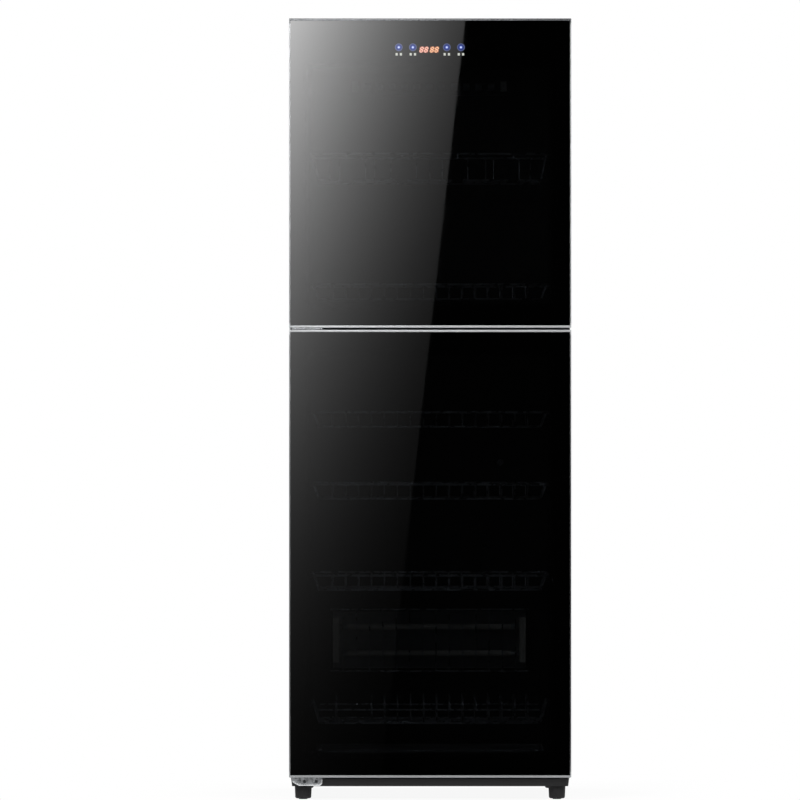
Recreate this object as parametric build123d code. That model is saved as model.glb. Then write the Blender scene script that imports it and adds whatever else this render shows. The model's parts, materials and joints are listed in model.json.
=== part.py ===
from build123d import *

import math
import os

# A free-standing two-door dish sterilizer cabinet, in millimetres.
# X runs to the right, Y to the back and Z up. The origin is on the floor under the middle.

# Overall sizes
WIDTH = 580.0  # across the doors
DEPTH = 430.0  # door front to the rear edges of the side panels
FOOT_HEIGHT = 27.5
BASE_HEIGHT = 15.5
DOOR_BOTTOM_GAP = 3.0
LOWER_DOOR_HEIGHT = 920.0
DOOR_GAP = 4.5
UPPER_DOOR_HEIGHT = 635.5
DOOR_THICKNESS = 30.0
DOOR_STANDOFF = 8.0  # door back to the front frame, filled by the gasket
TOP_STEP = 5.0  # cabinet top below the door top
BODY_INSET = 2.0  # side panels behind the door edges
BACK_RECESS = 6.0  # back panel inside the rear edges of the side panels

# Clearances
RUN_GAP = 0.3  # between pieces that move past each other
PIN_FIT = 0.05  # radial, pin in bush and bush in cap
PLATE_CLEARANCE = 1.0  # hinge plate to door
PLUG_PLAY = 0.3  # cap plug inside its stile

# Sheets and shells
PANEL_SHEET = 1.2
FRAME_SHEET = 1.5
LINER_SHEET = 1.0
INSULATION = 18.0
OPENING_INSET = 33.0  # door edge to chamber wall
REAR_CAVITY = 22.8  # chamber back wall to back panel
INSULATION_SETBACK = 32.0  # insulation behind the front frame
BEAM_DEPTH = 24.0
BEAM_HEIGHT = 44.0
BEAM_WALL = 2.0

# Base moulding and feet
BASE_INSET = 4.0
BASE_RECESS = 9.0  # plinth front behind the door front
BASE_REAR_INSET = 8.0
BASE_DRAFT = 7.0  # degrees
BASE_CORNER = 6.0
BASE_WALL = 3.0
FOOT_X_INSET = 28.7
FOOT_FRONT_INSET = 35.0
FOOT_REAR_INSET = 30.0
FOOT_TOP_RADIUS = 17.5
FOOT_BOTTOM_RADIUS = 15.4
FOOT_ROUNDING = 3.0
FOOT_PAD_RADIUS = 9.0
FOOT_PAD_HEIGHT = 1.5
STUD_RADIUS = 4.0
STUD_REACH = 9.0  # thread inside the base
BOSS_RADIUS = 13.0

# Doors
GLASS = 4.0
GLASS_RECESS = 0.5  # glass behind the trim
EDGE_TRIM = 2.5
CAP_LIP = 4.5  # silver strip seen above and below the glass
CAP_BODY = 10.0
CAP_PLUG = 25.0
STILE_WIDTH = 24.0
DOOR_RAIL_HEIGHT = 20.0
PROFILE_WALL = 2.0
GRIP_DEPTH = 9.0
GRIP_WIDTH = 13.0
GASKET_INSET = 15.0
GASKET_WIDTH = 12.0

# Hinges
PIN_DIAMETER = 8.0
PIN_INSET_X = 14.0
PIN_INSET_Y = 15.0
PIN_REACH = 16.0
BUSH_DIAMETER = 11.0
BUSH_FLANGE_DIAMETER = 15.0
BUSH_LENGTH = 18.0
DOOR_SWING = 115.0  # degrees
TOP_PLATE = 2.5
TOP_PLATE_NOSE = 8.5
TOP_PLATE_WIDTH = 53.0
TOP_PLATE_LENGTH = 67.0
TOP_PLATE_SIDE = 2.0  # plate's foot to the right of the pin
TOP_SCREW_SPAN = 26.5
TOP_SCREW_STEP = 22.0
TOP_NOTCH_LIP = 5.0
TOP_NOTCH_WIDTH = 60.0
MID_PLATE_WIDTH = 70.0
MID_PLATE_NOSE = 12.0  # plate in front of the pin
MID_FLANGE_WIDTH = 43.0
MID_FLANGE_HEIGHT = 15.0
MID_SCREW_SPAN = 21.5
BOTTOM_PLATE_WIDTH = 62.0
BOTTOM_PLATE_SIDE = 6.0  # door edge to the plate's left end
BOTTOM_PLATE_LENGTH = 24.0
BOTTOM_FLANGE_HEIGHT = 16.0
BOTTOM_FLANGE_ROUND = 7.0
BOTTOM_CORNER_WIDTH = 14.0  # cut off the lower left corner
BOTTOM_CORNER_HEIGHT = 8.0
BOTTOM_SCREW_SPAN = 24.0
BOTTOM_SCREW_SHIFT = 6.5  # screws to the right of the plate's middle
BOTTOM_SCREW_DROP = 7.8

# Screws
SCREW_DIAMETER = 4.0
SCREW_HOLE = 4.2
SCREW_LENGTH = 8.0
SCREW_HEAD_DIAMETER = 7.0
SCREW_HEAD_HEIGHT = 2.2
BACK_SCREW_EDGE = 6.0
BACK_SCREW_ROWS = 4
BACK_SCREW_END = 70.0

# Racks, tray and their rails
RIM_WIRE = 5.0
FRAME_WIRE = 4.0
RIB_WIRE = 3.0
WELD = 0.5  # one wire sunk into the next
TOUCH = 0.05  # wire end beside the wire it stands on
RACK_SIDE_GAP = 8.5
RACK_FRONT_GAP = 42.0
RACK_BACK_GAP = 47.0
RACK_SLOPE = 15.0
RACK_HEIGHT = 30.0
RIB_PITCH = 27.0
CROSS_WIRES = 3
RACK_TRAVEL = 180.0
RAIL_WIDTH = 12.5
RAIL_HEIGHT = 14.0
RAIL_SHEET = 1.5
RAIL_FRONT_GAP = 8.0
RAIL_BACK_GAP = 5.0
CUP_RACK_RIM = 57.0  # rims above the floor of their chamber
STEMWARE_RACK_RIM = 327.0
PLATE_RACK_RIM = 115.0
DEEP_DISH_RACK_RIM = 380.0
DISH_RACK_RIM = 568.5
BOWL_RACK_RIM = 717.5
STEMWARE_DROP = 54.0
STEM_PITCH = 115.0
STEM_SLOT = 20.0
STEM_BAR_SPACING = 9.0
PLATE_RACK_HEIGHT = 41.0
HOOP_WIRE = 3.5
HOOP_HEIGHT = 50.0
HOOP_BEND = 15.0
HOOP_PITCH = 27.0
HOOP_LEFT_MARGIN = 36.0
HOOP_RIGHT_MARGIN = 20.0
WIDE_SLOT = 74.0
TIE_BAR_RISE = 28.0
TRAY_SIDE_GAP = 20.0
TRAY_FRONT_GAP = 30.0
TRAY_BACK_GAP = 45.0
TRAY_HEIGHT = 18.0
TRAY_SHEET = 1.0
TRAY_LIP = 8.0

# Lamp and heater
LAMP_DROP = 90.0  # lamp below the upper chamber's ceiling
LAMP_LENGTH = 300.0
LAMP_DIAMETER = 16.0
LAMP_STANDOFF = 20.0
SOCKET_LENGTH = 20.0
SOCKET_DEPTH = 34.0
SOCKET_HEIGHT = 26.0
GUARD_SHEET = 1.0
GUARD_DEPTH = 38.0
GUARD_HEIGHT = 36.0
GUARD_SLOT = 14.0
GUARD_SLOT_PITCH = 26.0
HEATER_RISE = 236.0  # heater middle above the lower chamber's floor
HEATER_TUBE = 12.0
HEATER_LENGTH = 380.0
HEATER_SPACING = 56.0
HEATER_STANDOFF = 17.0
HOLDER_LENGTH = 14.0
HOLDER_DEPTH = 28.0
HOLDER_HEIGHT = 96.0
REFLECTOR_HEIGHT = 120.0
REFLECTOR_FLANGE = 12.0
REFLECTOR_SHEET = 1.2
HEATER_GUARD_STANDOFF = 37.0
HEATER_GUARD_MARGIN = 5.0
HEATER_GUARD_PITCH = 28.0
SENSOR_X = 150.0
SENSOR_DROP = 243.0
SENSOR_LENGTH = 25.0
SENSOR_DIAMETER = 6.0
SENSOR_NUT_DIAMETER = 14.0
SENSOR_NUT_HEIGHT = 4.0

# Controls and electrics
CONTROL_WIDTH = 190.0
CONTROL_HEIGHT = 54.0
CONTROL_DEPTH = 20.0
CONTROL_WALL = 2.0
CONTROL_POST = 3.0
BOARD = 1.6
BOARD_SETBACK = 8.0  # control board behind the glass
BOARD_PLAY = 0.5
DISPLAY_WIDTH = 52.0
DISPLAY_HEIGHT = 19.0
DISPLAY_DROP = 64.3  # below the door's top edge
KEY_DROP = 59.0
KEY_RADIUS = 7.8
KEY_RING = 1.2
KEY_DOT_RADIUS = 1.8
KEY_WEB = 1.5
KEY_X = (35.0, 63.5)
POWER_CASE_WIDTH = 200.0
POWER_CASE_DEPTH = 140.0
POWER_CASE_HEIGHT = 24.0
POWER_CASE_WALL = 2.0
POWER_POST = 4.0
RELAY_SIZE = 18.0
RELAY_HEIGHT = 12.0
RELAY_COUNT = 4
RELAY_PITCH = 34.0
DOOR_SENSOR_WIDTH = 20.0
DOOR_SENSOR_DEPTH = 10.0
DOOR_SENSOR_HEIGHT = 30.0
DOOR_SENSOR_GAP = 4.0  # side panel to sensor
GLAND_X = 61.8  # in from the left side panel
GLAND_RISE = 40.0  # above the upper chamber's floor
GLAND_BARREL = 9.0
GLAND_BORE = 4.5
GLAND_FLANGE = 14.0
GLAND_OUTSIDE = 4.0
GLAND_INSIDE = 3.0
VENT_WIDTH = 60.0
VENT_HEIGHT = 4.0
VENT_PITCH = 10.0
VENT_ROWS = 8
VENT_COLUMNS = 3
VENT_COLUMN_PITCH = 90.0
VENT_END = 60.0
RIB_RAISE = 1.5  # pressed stiffening ribs of the back panel
RIB_WIDTH = 24.0
RIB_SPACING = 116.8  # outer ribs in from the side panels
RIB_END = 180.0

# Places that follow from the sizes
half_width = WIDTH / 2
front = -DEPTH / 2
back = DEPTH / 2
door_back = front + DOOR_THICKNESS
body_front = door_back + DOOR_STANDOFF
frame_back = body_front + FRAME_SHEET
body_half = half_width - BODY_INSET
side_inner = body_half - PANEL_SHEET
panel_outer = back - BACK_RECESS
panel_inner = panel_outer - PANEL_SHEET
chamber_half = half_width - OPENING_INSET
chamber_back = panel_inner - REAR_CAVITY
base_top = FOOT_HEIGHT + BASE_HEIGHT
lower_bottom = base_top + DOOR_BOTTOM_GAP
lower_top = lower_bottom + LOWER_DOOR_HEIGHT
upper_bottom = lower_top + DOOR_GAP
upper_top = upper_bottom + UPPER_DOOR_HEIGHT
body_top = upper_top - TOP_STEP
lower_floor = lower_bottom + OPENING_INSET
lower_ceiling = lower_top - OPENING_INSET
upper_floor = upper_bottom + OPENING_INSET
upper_ceiling = upper_top - OPENING_INSET
glass_front = front + GLASS_RECESS
glass_back = glass_front + GLASS
pin_x = -half_width + PIN_INSET_X
pin_y = front + PIN_INSET_Y
plinth_front = front + BASE_RECESS
foot_x = half_width - FOOT_X_INSET
foot_front_y = front + FOOT_FRONT_INSET
foot_rear_y = back - FOOT_REAR_INSET
bush_flange = PLATE_CLEARANCE - RUN_GAP
rack_half = chamber_half - RACK_SIDE_GAP - RIM_WIRE / 2
rack_front = body_front + RACK_FRONT_GAP
rack_back = chamber_back - RACK_BACK_GAP
base_half = rack_half - RACK_SLOPE
base_front = rack_front + RACK_SLOPE
base_back = rack_back - RACK_SLOPE
rib_inset = (RIM_WIRE + RIB_WIRE) / 2 - WELD
lamp_z = upper_ceiling - LAMP_DROP
heater_z = lower_floor + HEATER_RISE
wall_half = half_width - EDGE_TRIM
mid_plate_low = lower_top + PLATE_CLEARANCE
mid_plate_high = upper_bottom - PLATE_CLEARANCE
mid_flange_x = -half_width + GASKET_INSET + GASKET_WIDTH
bottom_plate_sheet = DOOR_BOTTOM_GAP - PLATE_CLEARANCE
bottom_plate_x = -half_width + BOTTOM_PLATE_SIDE
housing_top = upper_top - CAP_BODY - DOOR_RAIL_HEIGHT
key_z = upper_top - KEY_DROP
display_z = upper_top - DISPLAY_DROP
board_front = glass_back + BOARD_SETBACK
gland_x = -side_inner + GLAND_X
outer_rib = side_inner - RIB_SPACING
gland_z = upper_floor + GLAND_RISE
sensor_z = lower_ceiling - SENSOR_DROP

UPPER_DOOR = (upper_bottom, upper_top)
LOWER_DOOR = (lower_bottom, lower_top)


# Shared shapes


def block(x, y, z):
    """A box given by its low and high ends along X, Y and Z."""
    spans = (x, y, z)
    middle = [(low + high) / 2 for low, high in spans]
    return Pos(*middle) * Box(*[high - low for low, high in spans])


def mirrored(low, high):
    """The same span on the left and on the right of the middle."""
    return ((-high, -low), (low, high))


def rod(start, end, diameter):
    """A straight round wire or pin between two points."""
    start = Vector(*start)
    run = Vector(*end) - start
    return Solid.make_cylinder(diameter / 2, run.length, Plane(start, z_dir=run))


def upright(x, y, low, high, diameter):
    """A round pin or hole along Z."""
    return rod((x, y, low), (x, y, high), diameter)


def along_y(x, z, low, high, diameter):
    """A round pin or hole along Y."""
    return rod((x, low, z), (x, high, z), diameter)


def bent_wire(points, diameter, bend):
    """A round wire along straight runs joined by bends of one radius."""
    path = FilletPolyline(*points, radius=bend)
    section = Plane(path @ 0, z_dir=path % 0) * Circle(diameter / 2)
    return sweep(section, path=path)


def wire_loop(x, y, z, corner, diameter):
    """A closed flat loop of wire with rounded corners, its wire's middle on the given spans."""
    middle = Pos((x[0] + x[1]) / 2, (y[0] + y[1]) / 2, z)
    path = (middle * RectangleRounded(x[1] - x[0], y[1] - y[0], corner)).wire()
    section = Plane(path @ 0, z_dir=path % 0) * Circle(diameter / 2)
    return sweep(section, path=path)


def spread(low, high, pitch):
    """Evenly spaced places, centred between two ends, as many as the pitch allows."""
    count = int((high - low) / pitch)
    start = (low + high) / 2 - (count - 1) * pitch / 2
    return [start + step * pitch for step in range(count)]


def group(pieces):
    """Separate solids kept together in one node."""
    return Compound([solid for piece in pieces for solid in piece.solids()])


# Body


def side_panel(side):
    x = mirrored(side_inner, body_half)[side > 0]
    return block(x, (frame_back, back), (base_top + PANEL_SHEET, body_top))


def top_panel():
    sheet = block((-side_inner, side_inner), (frame_back, panel_inner), (body_top - PANEL_SHEET, body_top))
    return sheet - [upright(x, y, body_top - PANEL_SHEET, body_top, SCREW_HOLE) for x, y in top_screws()]


def back_panel():
    low, high = base_top + PANEL_SHEET, body_top
    panel = block((-side_inner, side_inner), (panel_inner, panel_outer), (low, high))
    ribs = [
        block(
            (x - RIB_WIDTH / 2, x + RIB_WIDTH / 2),
            (panel_outer, panel_outer + RIB_RAISE),
            (low + RIB_END, high - RIB_END),
        )
        for x in (-outer_rib, 0, outer_rib)
    ]
    columns = [(column - (VENT_COLUMNS - 1) / 2) * VENT_COLUMN_PITCH for column in range(VENT_COLUMNS)]
    rows = [low + VENT_END + row * VENT_PITCH for row in range(VENT_ROWS)]
    rows += [high - VENT_END - row * VENT_PITCH for row in range(VENT_ROWS)]
    vents = [
        block(
            (x - VENT_WIDTH / 2, x + VENT_WIDTH / 2),
            (panel_inner, panel_outer),
            (z - VENT_HEIGHT / 2, z + VENT_HEIGHT / 2),
        )
        for x in columns
        for z in rows
    ]
    holes = [along_y(x, z, panel_inner, panel_outer, SCREW_HOLE) for x, z in back_screws()]
    holes.append(along_y(gland_x, gland_z, panel_inner, panel_outer, 2 * (GLAND_BARREL + PIN_FIT)))
    return (panel + ribs) - vents - holes


def bottom_plate():
    return block((-body_half, body_half), (body_front, back), (base_top, base_top + PANEL_SHEET))


def base_plinth():
    """Black moulding under the cabinet: a shallow drafted tray, open below, with a boss for each foot."""
    depth = back - BASE_REAR_INSET - plinth_front
    middle_y = plinth_front + depth / 2
    top = Plane((0, middle_y, base_top), x_dir=(1, 0, 0), z_dir=(0, 0, -1))
    width = 2 * (half_width - BASE_INSET)
    outer = extrude(top * RectangleRounded(width, depth, BASE_CORNER), BASE_HEIGHT, taper=BASE_DRAFT)
    slope = BASE_HEIGHT * math.tan(math.radians(BASE_DRAFT))
    inset = slope + BASE_WALL
    hollow = block(
        (-width / 2 + inset, width / 2 - inset),
        (plinth_front + inset, plinth_front + depth - inset),
        (FOOT_HEIGHT, base_top - BASE_WALL),
    )
    bosses = [upright(x, y, FOOT_HEIGHT, base_top - BASE_WALL, 2 * BOSS_RADIUS) for x, y in feet().values()]
    sockets = [
        upright(x, y, FOOT_HEIGHT, FOOT_HEIGHT + STUD_REACH + RUN_GAP, 2 * (STUD_RADIUS + PIN_FIT))
        for x, y in feet().values()
    ]
    screw_holes = [
        along_y(x, z, plinth_front, plinth_front + 2 * inset, SCREW_HOLE) for x, z in bottom_screws()
    ]
    return (outer - hollow + bosses) - sockets - screw_holes


def front_frame():
    """Flat sheet round the mouths of the two chambers, which the gaskets seal against."""
    sheet = block((-body_half, body_half), (body_front, frame_back), (base_top + PANEL_SHEET, body_top))
    mouths = [
        block((-chamber_half, chamber_half), (body_front, frame_back), span)
        for span in ((lower_floor, lower_ceiling), (upper_floor, upper_ceiling))
    ]
    holes = [along_y(x, z, body_front, frame_back, SCREW_HOLE) for x, z in mid_screws()]
    return sheet - mouths - holes


def mid_beam():
    """Folded steel channel behind the front frame, between the chambers, which carries the middle hinge."""
    middle = (lower_ceiling + upper_floor) / 2
    z = (middle - BEAM_HEIGHT / 2, middle + BEAM_HEIGHT / 2)
    channel = block((-side_inner, side_inner), (frame_back, frame_back + BEAM_DEPTH), z)
    hollow = block(
        (-side_inner, side_inner),
        (frame_back + BEAM_WALL, frame_back + BEAM_DEPTH),
        (z[0] + BEAM_WALL, z[1] - BEAM_WALL),
    )
    holes = [along_y(x, z, frame_back, frame_back + BEAM_WALL, SCREW_HOLE) for x, z in mid_screws()]
    return channel - hollow - holes


def liner(floor, ceiling):
    """Sheet metal box of one chamber, open at the front."""
    wall = LINER_SHEET
    outer = block(
        (-chamber_half - wall, chamber_half + wall),
        (frame_back, chamber_back + wall),
        (floor - wall, ceiling + wall),
    )
    return outer - block((-chamber_half, chamber_half), (frame_back, chamber_back), (floor, ceiling))


def lower_insulation():
    wall = LINER_SHEET
    reach = wall + INSULATION
    start = frame_back + INSULATION_SETBACK
    jacket = block(
        (-chamber_half - reach, chamber_half + reach),
        (start, chamber_back + reach),
        (lower_floor - reach, lower_ceiling + reach),
    )
    return jacket - block(
        (-chamber_half - wall, chamber_half + wall),
        (start, chamber_back + wall),
        (lower_floor - wall, lower_ceiling + wall),
    )


# Hinges and screws


def top_screws():
    """Three screws behind the door on the top hinge plate, a pair in front and one behind."""
    middle = pin_x + TOP_PLATE_SIDE + TOP_PLATE_WIDTH / 2
    half = TOP_SCREW_SPAN / 2
    y = body_front + SCREW_HEAD_DIAMETER
    return [(middle - half, y), (middle + half, y), (middle, y + TOP_SCREW_STEP)]


def mid_screws():
    middle = mid_flange_x + MID_FLANGE_WIDTH / 2
    half = MID_SCREW_SPAN / 2
    z = mid_plate_high + MID_FLANGE_HEIGHT / 2
    return [(middle - half, z), (middle + half, z)]


def bottom_screws():
    middle = bottom_plate_x + BOTTOM_PLATE_WIDTH / 2 + BOTTOM_SCREW_SHIFT
    half = BOTTOM_SCREW_SPAN / 2
    z = base_top + bottom_plate_sheet - BOTTOM_SCREW_DROP
    return [(middle - half, z), (middle + half, z)]


def back_screws():
    low, high = base_top + BACK_SCREW_END, body_top - BACK_SCREW_END
    step = (high - low) / (BACK_SCREW_ROWS - 1)
    x = side_inner - BACK_SCREW_EDGE
    return [(side * x, low + row * step) for side in (-1, 1) for row in range(BACK_SCREW_ROWS)]


def pin_hole(low, high):
    return upright(pin_x, pin_y, low, high, PIN_DIAMETER + 2 * PIN_FIT)


def top_hinge_plate():
    """Flat foot screwed to the cabinet top, with an arm that narrows over the door to its pivot pin."""
    left = pin_x + TOP_PLATE_SIDE
    right = left + TOP_PLATE_WIDTH
    z = (body_top, body_top + TOP_PLATE)
    foot = block((left, right), (body_front, body_front + TOP_PLATE_LENGTH), z)
    nose = Pos(pin_x, pin_y) * Circle(TOP_PLATE_NOSE)
    arm = make_hull(nose.edges() + Line((left, body_front), (right, body_front)).edges())
    holes = [upright(x, y, *z, SCREW_HOLE) for x, y in top_screws()]
    return (foot + extrude(Pos(0, 0, body_top) * arm, TOP_PLATE)) - holes - pin_hole(*z)


def mid_hinge_plate():
    """Angle plate in the gap between the doors: a flat arm and a flange screwed to the front frame."""
    sheet = mid_plate_high - mid_plate_low
    arm = block(
        (-half_width + RUN_GAP, -half_width + MID_PLATE_WIDTH),
        (pin_y - MID_PLATE_NOSE, body_front),
        (mid_plate_low, mid_plate_high),
    )
    arm = fillet(arm.edges().filter_by(Axis.Z).group_by(Axis.Y)[0], MID_PLATE_NOSE / 2)
    flange = block(
        (mid_flange_x, mid_flange_x + MID_FLANGE_WIDTH),
        (body_front - sheet, body_front),
        (mid_plate_low, mid_plate_high + MID_FLANGE_HEIGHT),
    )
    holes = [along_y(x, z, body_front - sheet, body_front, SCREW_HOLE) for x, z in mid_screws()]
    return (arm + flange) - holes - pin_hole(mid_plate_low, mid_plate_high)


def bottom_hinge_plate():
    """Angle plate hooked over the plinth's front edge: a face with two screws and an arm under the door."""
    sheet = bottom_plate_sheet
    x = (bottom_plate_x, bottom_plate_x + BOTTOM_PLATE_WIDTH)
    top = base_top + sheet
    arm = block(x, (plinth_front - sheet, plinth_front + BOTTOM_PLATE_LENGTH), (base_top, top))
    low = top - BOTTOM_FLANGE_HEIGHT
    outline = Polyline(
        (x[0], top),
        (x[1], top),
        (x[1], low),
        (x[0] + BOTTOM_CORNER_WIDTH, low),
        (x[0], low + BOTTOM_CORNER_HEIGHT),
        close=True,
    )
    face = extrude(Plane((0, plinth_front, 0), x_dir=(1, 0, 0), z_dir=(0, -1, 0)) * make_face(outline), sheet)
    face = fillet(face.edges().filter_by(Axis.Y).group_by(Axis.Z)[0].sort_by(Axis.X)[-1], BOTTOM_FLANGE_ROUND)
    holes = [along_y(x, z, plinth_front - sheet, plinth_front, SCREW_HOLE) for x, z in bottom_screws()]
    return (arm + face) - holes - pin_hole(base_top, top)


def hinge_pins():
    """Top pin, middle pin for both doors, and bottom pin, all on one upright axis."""
    reach = PLATE_CLEARANCE + PIN_REACH
    spans = [
        (body_top - reach, body_top + TOP_PLATE),
        (mid_plate_low - reach, mid_plate_high + reach),
        (base_top, base_top + bottom_plate_sheet + reach),
    ]
    return group([upright(pin_x, pin_y, low, high, PIN_DIAMETER) for low, high in spans])


def screw(head, direction):
    """Pan head screw whose head rests at a point, its shank running along a direction."""
    seat = Vector(*head)
    run = Vector(*direction)
    shank = rod(seat, seat + run * SCREW_LENGTH, SCREW_DIAMETER)
    cap = rod(seat - run * SCREW_HEAD_HEIGHT, seat, SCREW_HEAD_DIAMETER)
    rim = cap.edges().filter_by(GeomType.CIRCLE).sort_by(lambda edge: (edge.center() - seat).length)[-1]
    return cap.fillet(SCREW_HEAD_HEIGHT / 2, [rim]).fuse(shank)


def screws():
    sheet = mid_plate_high - mid_plate_low
    pieces = [screw((x, y, body_top + TOP_PLATE), (0, 0, -1)) for x, y in top_screws()]
    pieces += [screw((x, body_front - sheet, z), (0, 1, 0)) for x, z in mid_screws()]
    pieces += [screw((x, plinth_front - bottom_plate_sheet, z), (0, 1, 0)) for x, z in bottom_screws()]
    pieces += [screw((x, panel_outer, z), (0, -1, 0)) for x, z in back_screws()]
    return group(pieces)


# Doors


def inward(door, at_top, near, far):
    """The Z span that lies between two distances in from a door's top or bottom edge."""
    low, high = door
    return (high - far, high - near) if at_top else (low + near, low + far)


def hinge_cavity():
    """X span of the hollow of the hinge stile."""
    return (-wall_half, -half_width + STILE_WIDTH - PROFILE_WALL)


def grip_cavity():
    """X span of the hollow of the handle stile, which its finger groove narrows."""
    return (half_width - STILE_WIDTH + PROFILE_WALL, half_width - GRIP_DEPTH - PROFILE_WALL)


def grip_span():
    """Y span of the finger groove, in the middle of the stile's depth."""
    middle = (glass_back + door_back) / 2
    return (middle - GRIP_WIDTH / 2, middle + GRIP_WIDTH / 2)


def hollow_depth():
    """Y span of the hollow of a door profile."""
    return (glass_back + PROFILE_WALL, door_back - PROFILE_WALL)


def door_glass(door):
    return block((-wall_half, wall_half), (glass_front, glass_back), (door[0] + CAP_LIP, door[1] - CAP_LIP))


def door_stiles(door):
    """Hollow upright profiles, each with a thin lip beside the glass. The right one has a finger groove."""
    z = (door[0] + CAP_BODY, door[1] - CAP_BODY)
    stiles = []
    for x, lip, hollow in zip(
        mirrored(half_width - STILE_WIDTH, half_width),
        mirrored(wall_half, half_width),
        (hinge_cavity(), grip_cavity()),
    ):
        outer = block(x, (glass_back, door_back), z) + block(lip, (front, glass_back), z)
        stiles.append(outer - block(hollow, hollow_depth(), z))
    stiles[1] -= block((half_width - GRIP_DEPTH, half_width), grip_span(), z)
    return group(stiles)


def door_rails(door):
    """Hollow cross profiles at the top and bottom, between the stiles."""
    x = (-half_width + STILE_WIDTH, half_width - STILE_WIDTH)
    rails = []
    for at_top in (False, True):
        z = inward(door, at_top, CAP_BODY, CAP_BODY + DOOR_RAIL_HEIGHT)
        hollow = block(x, hollow_depth(), (z[0] + PROFILE_WALL, z[1] - PROFILE_WALL))
        rails.append(block(x, (glass_back, door_back), z) - hollow)
    return group(rails)


def door_cap(door, at_top, notch):
    """End moulding with a silver front lip, a plug for each stile, and a bore for the hinge bush."""
    body = inward(door, at_top, 0, CAP_BODY)
    cap = block((-half_width, half_width), (glass_back, door_back), body)
    cap += block((-half_width, half_width), (front, glass_back), inward(door, at_top, 0, CAP_LIP))
    for x in mirrored(wall_half, half_width):
        cap += block(x, (front, glass_back), inward(door, at_top, CAP_LIP, CAP_BODY))
    for x in (hinge_cavity(), grip_cavity()):
        y = hollow_depth()
        cap += block(
            (x[0] + PLUG_PLAY, x[1] - PLUG_PLAY),
            (y[0] + PLUG_PLAY, y[1] - PLUG_PLAY),
            inward(door, at_top, CAP_BODY, CAP_BODY + CAP_PLUG),
        )
    bore = inward(door, at_top, 0, notch + BUSH_LENGTH + RUN_GAP)
    cap -= upright(pin_x, pin_y, *bore, BUSH_DIAMETER + 2 * PIN_FIT)
    if notch:
        cap -= block(
            (-half_width, pin_x + TOP_NOTCH_WIDTH),
            (front + TOP_NOTCH_LIP, door_back),
            inward(door, at_top, 0, notch),
        )
    return cap


def door_gasket(door):
    """Magnetic seal, a square ring on the back of the door."""
    reach = half_width - GASKET_INSET
    z = (door[0] + GASKET_INSET, door[1] - GASKET_INSET)
    y = (door_back, body_front - RUN_GAP)
    ring = block((-reach, reach), y, z)
    width = GASKET_WIDTH
    return ring - block((-reach + width, reach - width), y, (z[0] + width, z[1] - width))


def door_bushes(door, notch):
    """Flanged bearing bushes in the bottom and top caps, round the hinge pins."""
    bushes = []
    for at_top, start in ((False, 0), (True, notch)):
        barrel = upright(pin_x, pin_y, *inward(door, at_top, start, start + BUSH_LENGTH), BUSH_DIAMETER)
        flange = inward(door, at_top, start - bush_flange, start)
        bore = inward(door, at_top, start - bush_flange, start + BUSH_LENGTH)
        bush = barrel.fuse(upright(pin_x, pin_y, *flange, BUSH_FLANGE_DIAMETER))
        bushes.append(bush - pin_hole(*bore))
    return group(bushes)


# Controls in the upper door


def control_housing():
    """Open-fronted plastic box on the back of the glass, with posts for the board."""
    outer_half = CONTROL_WIDTH / 2
    z = (housing_top - CONTROL_HEIGHT, housing_top)
    y = (glass_back, glass_back + CONTROL_DEPTH)
    wall = CONTROL_WALL
    shell = block((-outer_half, outer_half), y, z) - block(
        (-outer_half + wall, outer_half - wall), (y[0], y[1] - wall), (z[0] + wall, z[1] - wall)
    )
    inset = wall + 2 * CONTROL_POST
    posts = [
        along_y(side * (outer_half - inset), height, board_front + BOARD, y[1] - wall, 2 * CONTROL_POST)
        for side in (-1, 1)
        for height in (z[0] + inset, z[1] - inset)
    ]
    return shell + posts


def control_board():
    inset = CONTROL_WALL + BOARD_PLAY
    half = CONTROL_WIDTH / 2 - inset
    z = (housing_top - CONTROL_HEIGHT + inset, housing_top - inset)
    return block((-half, half), (board_front, board_front + BOARD), z)


def display_module():
    half = DISPLAY_WIDTH / 2
    z = (display_z - DISPLAY_HEIGHT / 2, display_z + DISPLAY_HEIGHT / 2)
    return block((-half, half), (glass_back, board_front), z)


def touch_key_lights():
    """Clear light guides behind the glass: a ring and a centre dot joined by a web on the board."""
    guides = []
    for x in sorted(side * place for place in KEY_X for side in (-1, 1)):
        rim = along_y(x, key_z, glass_back, board_front, 2 * KEY_RADIUS)
        well = along_y(x, key_z, glass_back, board_front - KEY_WEB, 2 * (KEY_RADIUS - KEY_RING))
        dot = along_y(x, key_z, glass_back, board_front - KEY_WEB, 2 * KEY_DOT_RADIUS)
        guides.append(rim - (well - dot))
    return group(guides)


# Racks and tray


def rail_pair(rim_z):
    """Left and right angle rails that carry one rack by its rim."""
    top = rim_z - RIM_WIRE / 2 - RUN_GAP
    y = (frame_back + RAIL_FRONT_GAP, chamber_back - RAIL_BACK_GAP)
    shelves = mirrored(chamber_half - RAIL_WIDTH, chamber_half)
    legs = mirrored(chamber_half - RAIL_SHEET, chamber_half)
    return [
        block(shelf, y, (top - RAIL_SHEET, top)) + block(leg, y, (top - RAIL_HEIGHT, top))
        for shelf, leg in zip(shelves, legs)
    ]


def rack_rails(floor, rims):
    return group([rail for rim in rims for rail in rail_pair(floor + rim)])


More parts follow.
